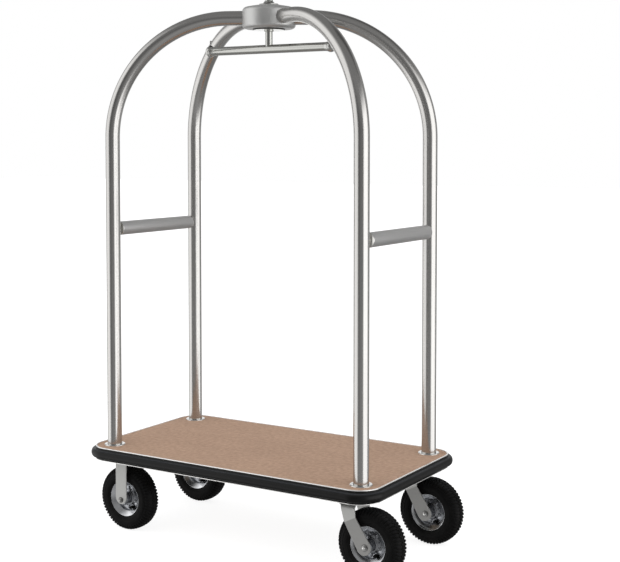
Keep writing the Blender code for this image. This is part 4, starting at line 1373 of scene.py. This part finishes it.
@dataclass
class Wheel:
    """An air tyre on a pressed two-part rim; one mesh of each serves all four wheels."""

    bench: Bench
    radius: float = 0.1125
    rim_radius: float = 0.0620
    lug_count: int = 58
    lug_height: float = 0.0034
    lug_slant: float = 0.10
    bolt_ring: float = 0.0335
    bolt_count: int = 5
    bolt_radius: float = 0.0046
    bolt_height: float = 0.0045
    steps: int = 132
    valve_ring: float = 0.037
    valve_base: float = 0.0055
    valve_angle: float = radians(-58.0)

    def build(self) -> None:
        """Build the shared meshes, and fit them at each axle."""
        parts = {
            "tyre": ("air_tyre_", self.tyre(), Coat.TYRE),
            "rim": ("rim_barrel_", self.rim(), Coat.RIM),
            "dish": ("rim_dish_", self.dish(), Coat.DISH),
            "bearing": ("hub_bearing_", self.bearing(), Coat.OILED_AND_SHADOW),
            "valve_stem": ("valve_", self.valve(), Coat.TYRE),
        }
        for place in PLACES:
            seat = self.axle(place)
            for kind, (name, mesh, coat) in parts.items():
                node = f"{kind}_{place}"
                nodes = [node] if node in self.bench.nodes else []
                self.bench.piece(name + place, mesh, coat, place + "_wheel", nodes, seat)

    @staticmethod
    def axle(place: str) -> Matrix:
        """Return a wheel's place: local Z along its axle, towards the left side."""
        return Matrix.Translation(middle("rim_" + place)) @ Matrix.Rotation(pi / 2, 4, "X")

    def tyre(self) -> bpy.types.Mesh:
        """Build the tyre: a round carcass, ribs on its sides, and rows of blocks and lugs.

        Returns:
            Its mesh.
        """
        top, lip = self.radius, self.rim_radius
        half = [
            (top, 0.0032, 0.0004),
            (top - 0.0026, 0.0042, 0.0004),
            (top - 0.0028, 0.0120, 0.002),
            (top - 0.0050, 0.0190, 0.004),
            (top - 0.0095, 0.0250, 0.004),
            (top - 0.0160, 0.0300, 0.005),
            (top - 0.0250, 0.0340, 0.007),
            (lip + 0.0180, 0.0347, 0.006),
            (lip + 0.0080, 0.0332, 0.004),
            (lip + 0.0030, 0.0314, 0.0012),
            (lip + 0.0006, 0.0300, 0.0006),
            (lip + 0.0004, 0.0262, 0.0),
            (0.0612, 0.0256, 0.0),
            (0.0590, 0.0225, 0.0),
            (0.0795, 0.0275, 0.0),
            (0.0995, 0.0195, 0.0),
        ]
        shoulder = [
            (top - 0.0028, 0.0124, 0.06, 0.6),
            (top - 0.0038, 0.0160, 0.30, 0.9),
            (top - 0.0066, 0.0216, 0.60, 1.0),
            (top - 0.0105, 0.0260, 0.90, 1.0),
            (top - 0.0160, 0.0298, 1.05, 0.5),
            (top - 0.0195, 0.0316, 1.15, -0.2),
        ]
        inner = [(top - 0.0027, width, 0.0, 0.75) for width in (0.0052, 0.0080, 0.0108)]
        skin = Skin().turned(mirrored(half), self.steps, looped=True)
        for side in (-1, 1):
            for radius, width in ((0.0735, 0.0338), (0.0885, 0.0337)):
                self.bead(skin, radius, side * width, 0.0008, self.steps)
            self.lug_row(skin, side, shoulder, 0.0)
            self.lug_row(skin, side, inner, 0.5)
        return skin.mesh("tyre", 34.0)

    @staticmethod
    def bead(skin: Skin, radius: float, height: float, size: float, steps: int) -> None:
        """Add a fine round ring about the axle.

        Args:
            skin: What it is sewn to.
            radius: Of the ring.
            height: Its distance from the wheel's middle, below 0 on the right side.
            size: The radius of its section.
            steps: How many sides it has.
        """
        upward = -size if height < 0 else size
        section = arc((radius, height), (size, upward), 0.0, tau * 7 / 8, 7)
        skin.turned(section, steps, looped=True)

    def lug_row(
        self, skin: Skin, side: int, stations: Sequence[tuple[float, float, float, float]],
        shift: float,
    ) -> None:
        """Set a row of lugs round the tread.

        Args:
            skin: The tyre's skin.
            side: Which half of the tread.
            stations: Radius and distance from the middle of the lug's foot, how far it leans
                outwards in radians, and its share of the lug height.
            shift: How far the row is turned, in lug pitches.
        """
        pitch = tau / self.lug_count
        for lug in range(self.lug_count):
            start = (lug + shift) * pitch
            rings = []
            for index, (radius, width, lean, share) in enumerate(stations):
                slant = self.lug_slant * pitch * (index - 1) * side
                ring = []
                for turn_share, lift in LUG_SECTION:
                    turn = start + slant + turn_share * pitch
                    rise = self.lug_height * (min(share, lift) if lift < 0 else share * lift)
                    reach = radius + rise * cos(lean)
                    across = width + rise * sin(lean)
                    ring.append(Vector((reach * cos(turn), reach * sin(turn), side * across)))
                rings.append(ring)
            skin.rings(rings)

    def rim(self) -> bpy.types.Mesh:
        """Build the rim's barrel: a sloping bed that ends in a rolled lip on each side.

        Returns:
            Its mesh.
        """
        lip = self.rim_radius
        half = [
            (0.0470, 0.0000, 0.0),
            (0.0475, 0.0150, 0.001),
            (0.0598, 0.0260, 0.001),
            (lip - 0.0002, 0.0274, 0.0006),
            (lip + 0.0003, 0.0288, 0.0005),
            (lip - 0.0005, 0.0294, 0.0005),
            (0.0450, 0.0150, 0.0012),
            (0.0448, 0.0120, 0.0006),
        ]
        return Skin().turned(mirrored(half), self.steps, looped=True).mesh("rim", 38.0)

    def dish(self) -> bpy.types.Mesh:
        """Build the rim's inside: dished disc, pressed ribs, bolts and hub tube.

        Returns:
            Its mesh.
        """
        half = [
            (0.0455, 0.0148, 0.0),
            (0.0446, 0.0112, 0.0015),
            (0.0425, 0.0062, 0.003),
            (0.0305, 0.0050, 0.003),
            (0.0262, 0.0095, 0.003),
            (0.0200, 0.0110, 0.002),
            (0.0190, 0.0405, 0.0008),
            (0.0172, 0.0415, 0.0005),
            (0.0131, 0.0415, 0.0),
        ]
        skin = Skin().turned(mirrored(half), self.steps, looped=True)
        for side in (-1, 1):
            for index in range(self.bolt_count):
                turn = tau * (index + 0.25) / self.bolt_count
                self.pressed_rib(skin, side, turn + pi / self.bolt_count)
                seat = (
                    Matrix.Rotation(turn, 4, "Z")
                    @ Matrix.Translation((self.bolt_ring, 0.0, side * 0.0050))
                    @ (STRAIGHT if side > 0 else FLIPPED)
                )
                hex_bolt(skin, self.bolt_radius, self.bolt_height, seat)
            for height in (0.019, 0.028, 0.037):
                self.bead(skin, 0.0190, side * height, 0.0012, 48)
        return skin.mesh("dish", 38.0)

    @staticmethod
    def pressed_rib(skin: Skin, side: int, turn: float) -> None:
        """Press one radial rib into the dish.

        Args:
            skin: The dish's skin.
            side: Which face of the dish.
            turn: Where round the axle it lies.
        """
        rings = []
        for share in spaced(0.0, 1.0, 10):
            swell = sqrt(max(1.0 - (2.0 * share - 1.0) ** 2, 0.0))
            rise = 0.0044 + 0.0048 * (1 - share)
            section = arc(
                (0.0, side * (rise - 0.002)), (0.0055 * swell, side * 0.0042 * swell),
                0.0, tau * 11 / 12, 11,
            )
            rings.append([Vector((0.0245 + 0.0190 * share, *spot)) for spot in section])
        skin.rings(rings, Matrix.Rotation(turn, 4, "Z"))

    @staticmethod
    def bearing() -> bpy.types.Mesh:
        """Build the bearing sleeve: outer race, dark seal and inner race at each end.

        Returns:
            Its mesh.
        """
        half = [
            (0.0130, 0.0, 0.0),
            (0.0130, 0.0433, 0.0004),
            (0.0112, 0.0433, 0.0002),
            (0.0110, 0.0427, 0.0),
            (0.0088, 0.0427, 0.0),
            (0.0086, 0.0434, 0.0),
            (0.0063, 0.0434, 0.0),
        ]
        return Skin().turned(mirrored(half, 3), 40, looped=True).mesh("bearing")

    def valve(self) -> bpy.types.Mesh:
        """Build the rubber valve stem with its ribbed cap.

        Returns:
            Its mesh.
        """
        base = self.valve_base
        profile = softened([
            (0.0, base - 0.0015, 0.0),
            (0.0068, base - 0.0015, 0.0),
            (0.0066, base + 0.0030, 0.0018),
            (0.0046, base + 0.0060, 0.0016),
            (0.0042, base + 0.0100, 0.0),
            (0.0036, base + 0.0102, 0.0),
            (0.0036, base + 0.0110, 0.0),
            (0.0049, base + 0.0112, 0.0006),
            (0.0046, base + 0.0185, 0.0014),
            (0.0, base + 0.0190, 0.0),
        ])
        spin = Matrix.Rotation(self.valve_angle, 4, "Z")
        seat = spin @ Matrix.Translation((self.valve_ring, 0.0, 0.0))
        return Skin().turned(profile, 28, seat).mesh("valve")


@dataclass
class Fork:
    """A fork bent from one strap of sheet, with its axle bolt and nut."""

    bench: Bench
    sheet: float = 0.005
    half_gap: float = 0.044
    edge: float = 0.0009
    crown_half: float = 0.034
    crown_blend: float = 0.0065
    crown_start: float = 0.004
    leg_tip: float = 0.0002
    head_radius: float = 0.0080
    head_height: float = 0.0065
    nut_radius: float = 0.0060
    nut_washer: float = 0.0096
    washer_thickness: float = 0.0008
    shank_radius: float = 0.006
    plate_size: Corner = (0.115, 0.106, 0.010)
    plate_thickness: float = 0.005
    plate_edge: float = 0.0008
    plate_bolts: Flat = (0.045, 0.041)
    plate_bolt_radius: float = 0.0075
    plate_bolt_height: float = 0.0055

    def strap(
        self, crown: float, bend: float, bottom: float, span: Callable[[float], Flat], rows: int
    ) -> Skin:
        """Bend the strap over the wheel.

        Args:
            crown: Height of the crown's underside.
            bend: Radius of the bends, at the middle of the sheet.
            bottom: Height of the legs' lowest point.
            span: Gives the strap's start and end along X at a height above the floor.
            rows: Rows of faces down each leg.

        Returns:
            The strap's skin, about the wheel's own middle across the trolley.
        """
        half = self.sheet / 2
        side, top = self.half_gap + half, crown + half
        stations: list[Corner] = []
        for share in spaced(0.0, 1.0, rows):
            height = bottom + (top - bend - bottom) * (1 - cos(share * pi / 2))
            stations.append((side, height, 0.0))
        for turn in spaced(0.0, pi / 2, 8)[1:]:
            across = side - bend + bend * cos(turn)
            stations.append((across, top - bend + bend * sin(turn), turn))
        both = [(-y, z, pi - turn) for y, z, turn in stations]
        both.extend(reversed(stations))
        rings = []
        for y, z, turn in both:
            out = Vector((0.0, cos(turn), sin(turn)))
            start, stop = span(z)
            edge = min(self.edge, (stop - start) / 3)
            section = (
                (start + edge, half), (stop - edge, half), (stop, half - edge),
                (stop, edge - half), (stop - edge, -half), (start + edge, -half),
                (start, edge - half), (start, half - edge),
            )
            rings.append([Vector((x, y, z)) + out * reach for x, reach in section])
        return Skin().rings(rings)

    def tip(self, radius: float, fall: float) -> float:
        """Return half the width of a leg's round end, so far from its middle."""
        return sqrt(max(radius**2 - fall**2, 0.0)) + self.leg_tip

    def widened(self, reach: float, full: float, rise: float) -> float:
        """Lead a leg's edge over to the crown's.

        Args:
            reach: Where the leg's edge lies.
            full: Where the crown's edge lies.
            rise: The height above the crown's underside.

        Returns:
            Where the edge lies at that height.
        """
        over = min(max(rise + self.crown_start, 0.0) / self.crown_blend, 1.0) ** 2
        return reach + (full - reach) * over

    def bolt(self, place: str, body: str, head_side: int) -> None:
        """Fit the axle bolt and its nut.

        Args:
            place: Which wheel.
            body: The body that they move with.
            head_side: -1 for a head on the left side of the wheel, 1 for the right.
        """
        turn = Matrix.Rotation(pi / 2 if head_side < 0 else -pi / 2, 4, "X")
        along = Matrix.Translation(middle("rim_" + place)) @ turn
        outer, head, shank = self.half_gap + self.sheet, self.head_height, self.shank_radius
        tail = outer + head + 0.004
        outward = Matrix.Translation((0.0, 0.0, outer))
        head_seat, nut_seat = along @ outward, along @ FLIPPED @ outward
        bolt = Skin().turned([
            (0.0, -tail),
            (shank - 0.0025, -tail),
            (shank - 0.0015, 0.0012 - tail),
            (shank - 0.0015, -outer),
            (shank, -outer),
            (shank, outer),
            (0.0, outer),
        ], 32, along)
        hex_bolt(bolt, self.head_radius, head, head_seat)
        nut = Skin()
        hex_bolt(nut, self.nut_radius, head, nut_seat)
        # Dark washers under the head and the nut: painted shadow round them.
        washers = Skin()
        for seat, wide in ((head_seat, self.head_radius * 1.35), (nut_seat, self.nut_washer)):
            washers.turned(puck(wide, 0.0, self.washer_thickness), 40, seat)
        dome = [*arc((0.0, head), (0.0042, 0.0022), 0.0, pi / 2, 8), (0.0, head - 0.001)]
        cap = Skin().turned(dome, 32, head_seat, looped=True)
        for name, skin, coat, nodes in (
            ("wheel_bolt", bolt, Coat.FIXING, ["axle_bolt_" + place]),
            ("wheel_nut", nut, Coat.FIXING, ["axle_nut_" + place]),
            ("wheel_shadow_washers", washers, Coat.OILED_AND_SHADOW, []),
            ("wheel_bolt_tip", cap, Coat.BRIGHT, []),
        ):
            self.bench.piece(f"{name}_{place}", skin.mesh(name), coat, body, nodes)

    def mounting_plate(self, name: str, node: str, stands_for: Sequence[str]) -> None:
        """Build a mounting plate with its four bolts.

        Args:
            name: What to call it.
            node: The frame node that has the plate's place.
            stands_for: The frame's nodes that it replaces.
        """
        top, place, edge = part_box(node)[1].z, above(node), self.plate_edge
        bottom = top - self.plate_thickness
        section = [(edge, bottom), (0.0, bottom + edge), (0.0, top - edge), (edge, top)]
        plate = Skin().slab(self.plate_size, 6, section).mesh("mounting_plate")
        self.bench.piece(name, plate, Coat.ZINC, "frame", stands_for, place)
        reach_x, reach_y = self.plate_bolts
        bolts = Skin()
        for side_x in (-1, 1):
            for side_y in (-1, 1):
                seat = Matrix.Translation((side_x * reach_x, side_y * reach_y, bottom)) @ FLIPPED
                hex_bolt(bolts, self.plate_bolt_radius, self.plate_bolt_height, seat)
        self.bench.piece(name + "_bolts", bolts.mesh("plate_bolts"), Coat.BRIGHT, place=place)


@dataclass
class RigidCaster(Fork):
    """A caster whose fork is fixed to its plate."""

    leg_half_width: float = 0.0235
    end_drop: float = 0.0145
    flare: float = 0.0025
    flare_height: float = 0.022
    bend_radius: float = 0.0085
    rows: int = 26

    def build(self) -> None:
        """Build both front casters."""
        for side in SIDES:
            self.caster("front_" + side)

    def caster(self, place: str) -> None:
        """Build one caster's fork, plate and axle.

        Args:
            place: Which wheel it holds.
        """
        node = "fork_" + place
        axle = middle("rim_" + place)
        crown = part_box(node)[1].z - self.plate_thickness - self.sheet
        half = self.leg_half_width

        def span(height: float) -> Flat:
            """Find the leg's edges at a height: round at its end, flared at its top.

            Args:
                height: Above the floor.

            Returns:
                Its start and end along X.
            """
            fall = axle.z + half - self.end_drop - height
            if fall > 0:
                reach = self.tip(half, fall)
            else:
                rise = max(height - (crown - self.flare_height), 0.0) / self.flare_height
                reach = half + self.flare * min(rise, 1.0) ** 2
                reach = self.widened(reach, self.crown_half, height - crown)
            return axle.x - reach, axle.x + reach

        strap = self.strap(crown, self.bend_radius, axle.z - self.end_drop, span, self.rows)
        seat = Matrix.Translation((0.0, axle.y, 0.0))
        mesh = strap.mesh("fork_strap")
        self.bench.piece("fork_strap_" + place, mesh, Coat.ZINC, "frame", [node], seat)
        self.mounting_plate("fixed_plate_" + place, node, ())
        self.bolt(place, "frame", 1)


@dataclass
class SwivelCaster(Fork):
    """A caster whose slanted fork turns on a ball race under its plate."""

    knees: Mapping[int, Flat] = field(
        default_factory=lambda: {-1: (-0.002, 0.182), 1: (0.0375, 0.2016)}
    )
    tops: Mapping[int, float] = field(default_factory=lambda: {-1: -0.018, 1: 0.034})
    end_radius: float = 0.0255
    leg_offset: float = 0.0045
    bend_radius: float = 0.016
    rows: int = 34
    race_radius: float = 0.037
    pin_head: float = 0.0115
    pin_head_height: float = 0.006
    pin_radius: float = 0.007

    def build(self) -> None:
        """Build both rear casters."""
        for side in SIDES:
            place = "rear_" + side
            self.fork(place)
            self.head(place)
            self.bolt(place, place + "_swivel", -1)

    def fork(self, place: str) -> None:
        """Bend one slanted fork.

        Args:
            place: Which wheel it holds.
        """
        node = "fork_" + place
        axle = middle("rim_" + place)
        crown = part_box(node)[1].z - self.sheet
        radius, offset = self.end_radius, self.leg_offset
        shift = middle("swivel_race_" + place).x - axle.x + offset
        top = crown + self.sheet / 2 - axle.z

        def edge(side: int) -> tuple[Vector, Vector]:
            """Find where one edge of the leg bends, and where it meets the round end.

            Args:
                side: -1 for the edge towards the front, 1 for the other.

            Returns:
                Both points, from the axle.
            """
            across, height = self.knees[side]
            knee = Vector((shift + across, height - axle.z))
            swing = atan2(knee.y, knee.x) - side * acos(radius / knee.length)
            return knee, radius * Vector((cos(swing), sin(swing)))

        edges = {side: edge(side) for side in (-1, 1)}

        def span(height: float) -> Flat:
            """Find the leg's edges at a height.

            Args:
                height: Above the floor.

            Returns:
                Its start and end along X.
            """
            rise = height - axle.z
            ends = []
            for side, (knee, touch) in edges.items():
                if rise > knee.y:
                    share = (rise - knee.y) / (top - knee.y)
                    reach = knee.x + (shift + self.tops[side] - knee.x) * share
                elif rise > touch.y:
                    share = (rise - touch.y) / (knee.y - touch.y)
                    reach = touch.x + (knee.x - touch.x) * share
                else:
                    reach = side * self.tip(radius, rise)
                ends.append(self.widened(reach, shift + side * self.crown_half, height - crown))
            return axle.x - offset + min(ends), axle.x - offset + max(ends)

        mesh = self.strap(crown, self.bend_radius, axle.z - radius, span, self.rows).mesh(
            "swivel_fork"
        )
        self.bench.piece(
            "swivel_fork_" + place, mesh, Coat.SHADED_LIT_ZINC, place + "_swivel", [node],
            Matrix.Translation((0.0, axle.y, 0.0)),
        )

    def head(self, place: str) -> None:
        """Build what stays still above the fork: plate, ball race and kingpin.

        Args:
            place: Which wheel it stands over.
        """
        plate, node, pin = (kind + place for kind in ("mount_plate_", "swivel_race_", "kingpin_"))
        self.mounting_plate("swivel_plate_" + place, plate, [plate])
        low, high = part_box(node)
        radius, mid, seat = self.race_radius, (low.z + high.z) / 2, above(node)
        profile = softened([
            (0.0, low.z, 0.0),
            (radius - 0.005, low.z, 0.001),
            (radius - 0.0015, mid - 0.002, 0.002),
            (radius - 0.005, mid - 0.0008, 0.0004),
            (radius - 0.005, mid + 0.0004, 0.0004),
            (radius, mid + 0.0012, 0.0008),
            (radius, high.z - 0.004, 0.003),
            (radius - 0.004, high.z, 0.001),
            (0.0, high.z, 0.0),
        ])
        mesh = Skin().turned(profile, 64, seat).mesh("ball_race")
        self.bench.piece("ball_race_" + place, mesh, Coat.ZINC, stands_for=[node])
        foot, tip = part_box(pin)
        shoulder = foot.z + self.pin_head_height
        skin = Skin()
        hex_bolt(skin, self.pin_head, self.pin_head_height, above(node, shoulder) @ FLIPPED)
        skin.turned(puck(self.pin_radius, shoulder, tip.z), 24, seat)
        mesh = skin.mesh("king_bolt")
        self.bench.piece("king_bolt_" + place, mesh, Coat.BRIGHT, stands_for=[pin])


@dataclass(frozen=True)
class Glow:
    """One soft light wall of the studio, as seen from the trolley; its angles are in degrees."""

    azimuth: float
    half_width: float
    height: float
    half_height: float
    strength: float
    edge: float
    rise: float

    def light(self, graph: Graph, around: Value, height: Value) -> Value:
        """Find the wall's brightness in each direction.

        Args:
            graph: The world's nodes.
            around: The direction laid level, of length 1.
            height: The sine of the direction's height.

        Returns:
            The brightness, from 0 to the wall's strength.
        """
        aim = radians(self.azimuth)
        near = graph.dot(around, (cos(aim), sin(aim), 0.0))
        inside = cos(radians(max(self.half_width - self.edge, 0.0)))
        outside = cos(radians(self.half_width + self.edge))
        across = graph.spread(near, outside, inside)
        off = graph.node("Math", {"operation": "ABSOLUTE"}, {0: height - sin(radians(self.height))})
        reach = sin(radians(self.half_height))
        soft = sin(radians(self.rise))
        return across * graph.spread(off, reach + soft, max(reach - soft, 0.0)) * self.strength


@dataclass
class Studio:
    """The floor, the light and the camera."""

    camera_place: Corner = (2.368, -3.5955, 1.3731)
    look_down: float = 2.766
    turned_left: float = 31.81
    focal_pixels: float = 1255.8
    image_width: int = 620
    image_height: int = 562
    principal_row: float = 200.15
    sensor_width: float = 36.0
    far_limit: float = 200.0
    floor_size: float = 60.0
    floor_colour: Colour = (0.3, 0.3, 0.3)
    floor_glow: float = 0.88
    overhead: float = 2.4
    overhead_spread: float = 100.0
    overhead_tilt: Flat = (12.0, 8.0)
    backdrop: float = 1.0
    room: float = 0.11
    walls: tuple[Glow, ...] = (
        Glow(-149.0, 33.0, 2.0, 38.0, 1.15, 7.0, 9.0),
        Glow(3.0, 35.0, 2.0, 24.0, 1.7, 5.0, 8.0),
        Glow(-52.0, 30.0, -4.0, 44.0, 0.08, 14.0, 14.0),
        Glow(135.0, 27.0, -1.0, 19.0, 0.8, 8.0, 4.0),
        Glow(72.0, 30.0, 10.0, 28.0, 0.26, 10.0, 5.0),
        Glow(66.0, 30.0, -45.0, 30.0, 0.13, 12.0, 10.0),
        Glow(-115.0, 150.0, 72.0, 34.0, 0.15, 14.0, 14.0),
        Glow(-115.0, 150.0, -58.0, 42.0, 0.2, 14.0, 14.0),
    )

    def build(self) -> None:
        """Set the stage."""
        bpy.context.scene.view_settings.view_transform = "Standard"
        self.camera()
        self.floor()
        self.lights()
        self.world()

    def camera(self) -> None:
        """Stand the camera where the photograph was taken from."""
        data = bpy.data.cameras.new("camera")
        data.sensor_width = self.sensor_width
        data.lens = data.sensor_width * self.focal_pixels / self.image_width
        data.shift_y = (self.principal_row - self.image_height / 2) / self.image_width
        data.clip_end = self.far_limit
        camera = placed("camera", data)
        camera.location = self.camera_place
        camera.rotation_euler = (radians(90.0 - self.look_down), 0.0, radians(self.turned_left))
        bpy.context.scene.camera = camera

    def floor(self) -> None:
        """Lay a plain pale floor, lit a little from within as a light table is."""
        half = self.floor_size / 2
        mesh = bpy.data.meshes.new("floor")
        corners = ((-half, -half), (half, -half), (half, half), (-half, half))
        mesh.from_pydata([(x, y, 0.0) for x, y in corners], [], [(0, 1, 2, 3)])
        material = bpy.data.materials.new("floor")
        graph = Graph(material)
        seen = graph.node("LightPath", {}, {})
        graph.set(
            Base_Color=(*self.floor_colour, 1.0),
            Roughness=0.9,
            Emission_Color=graph.blend(seen, self.floor_colour, (1.0, 1.0, 1.0)),
            Emission_Strength=self.floor_glow,
        )
        mesh.materials.append(material)
        floor = placed("floor", mesh)
        floor.visible_glossy = False

    def lights(self) -> None:
        """Hang one wide soft light overhead."""
        data = bpy.data.lights.new("overhead", "SUN")
        data.energy = self.overhead
        data.angle = radians(self.overhead_spread)
        light = placed("overhead", data)
        light.rotation_euler = (*(radians(tilt) for tilt in self.overhead_tilt), 0.0)
        light.visible_glossy = False

    def world(self) -> None:
        """Stand soft light walls round the trolley, before a plain white backdrop."""
        world = bpy.data.worlds.new("studio")
        bpy.context.scene.world = world
        graph = Graph(world, "Background")
        way = graph.node("TexCoord", {}, {}, output=0)
        level = graph.stretched(way, (1.0, 1.0, 0.0))
        around = graph.node("VectorMath", {"operation": "NORMALIZE"}, {0: level})
        height = graph.upward(way)
        glow: Value | float = self.room
        for wall in self.walls:
            glow = glow + wall.light(graph, around, height)
        seen = graph.node("LightPath", {}, {})
        graph.set(Color=(1.0, 1.0, 1.0, 1.0), Strength=self.backdrop * seen + (1.0 - seen) * glow)


def main() -> None:
    """Set up the studio, then build the trolley's pieces in order."""
    logging.basicConfig(level=logging.INFO, format="%(message)s")
    bench = Bench(frame["nodes"])
    Studio().build()
    for part in (Deck, Birdcage, Crown, GarmentBar, Wheel, RigidCaster, SwivelCaster):
        before = len(bench.made)
        part(bench).build()
        for made in bench.made[before:]:
            log.info("%s: %s", part.__name__, made.name)


if __name__ == "__main__":
    main()
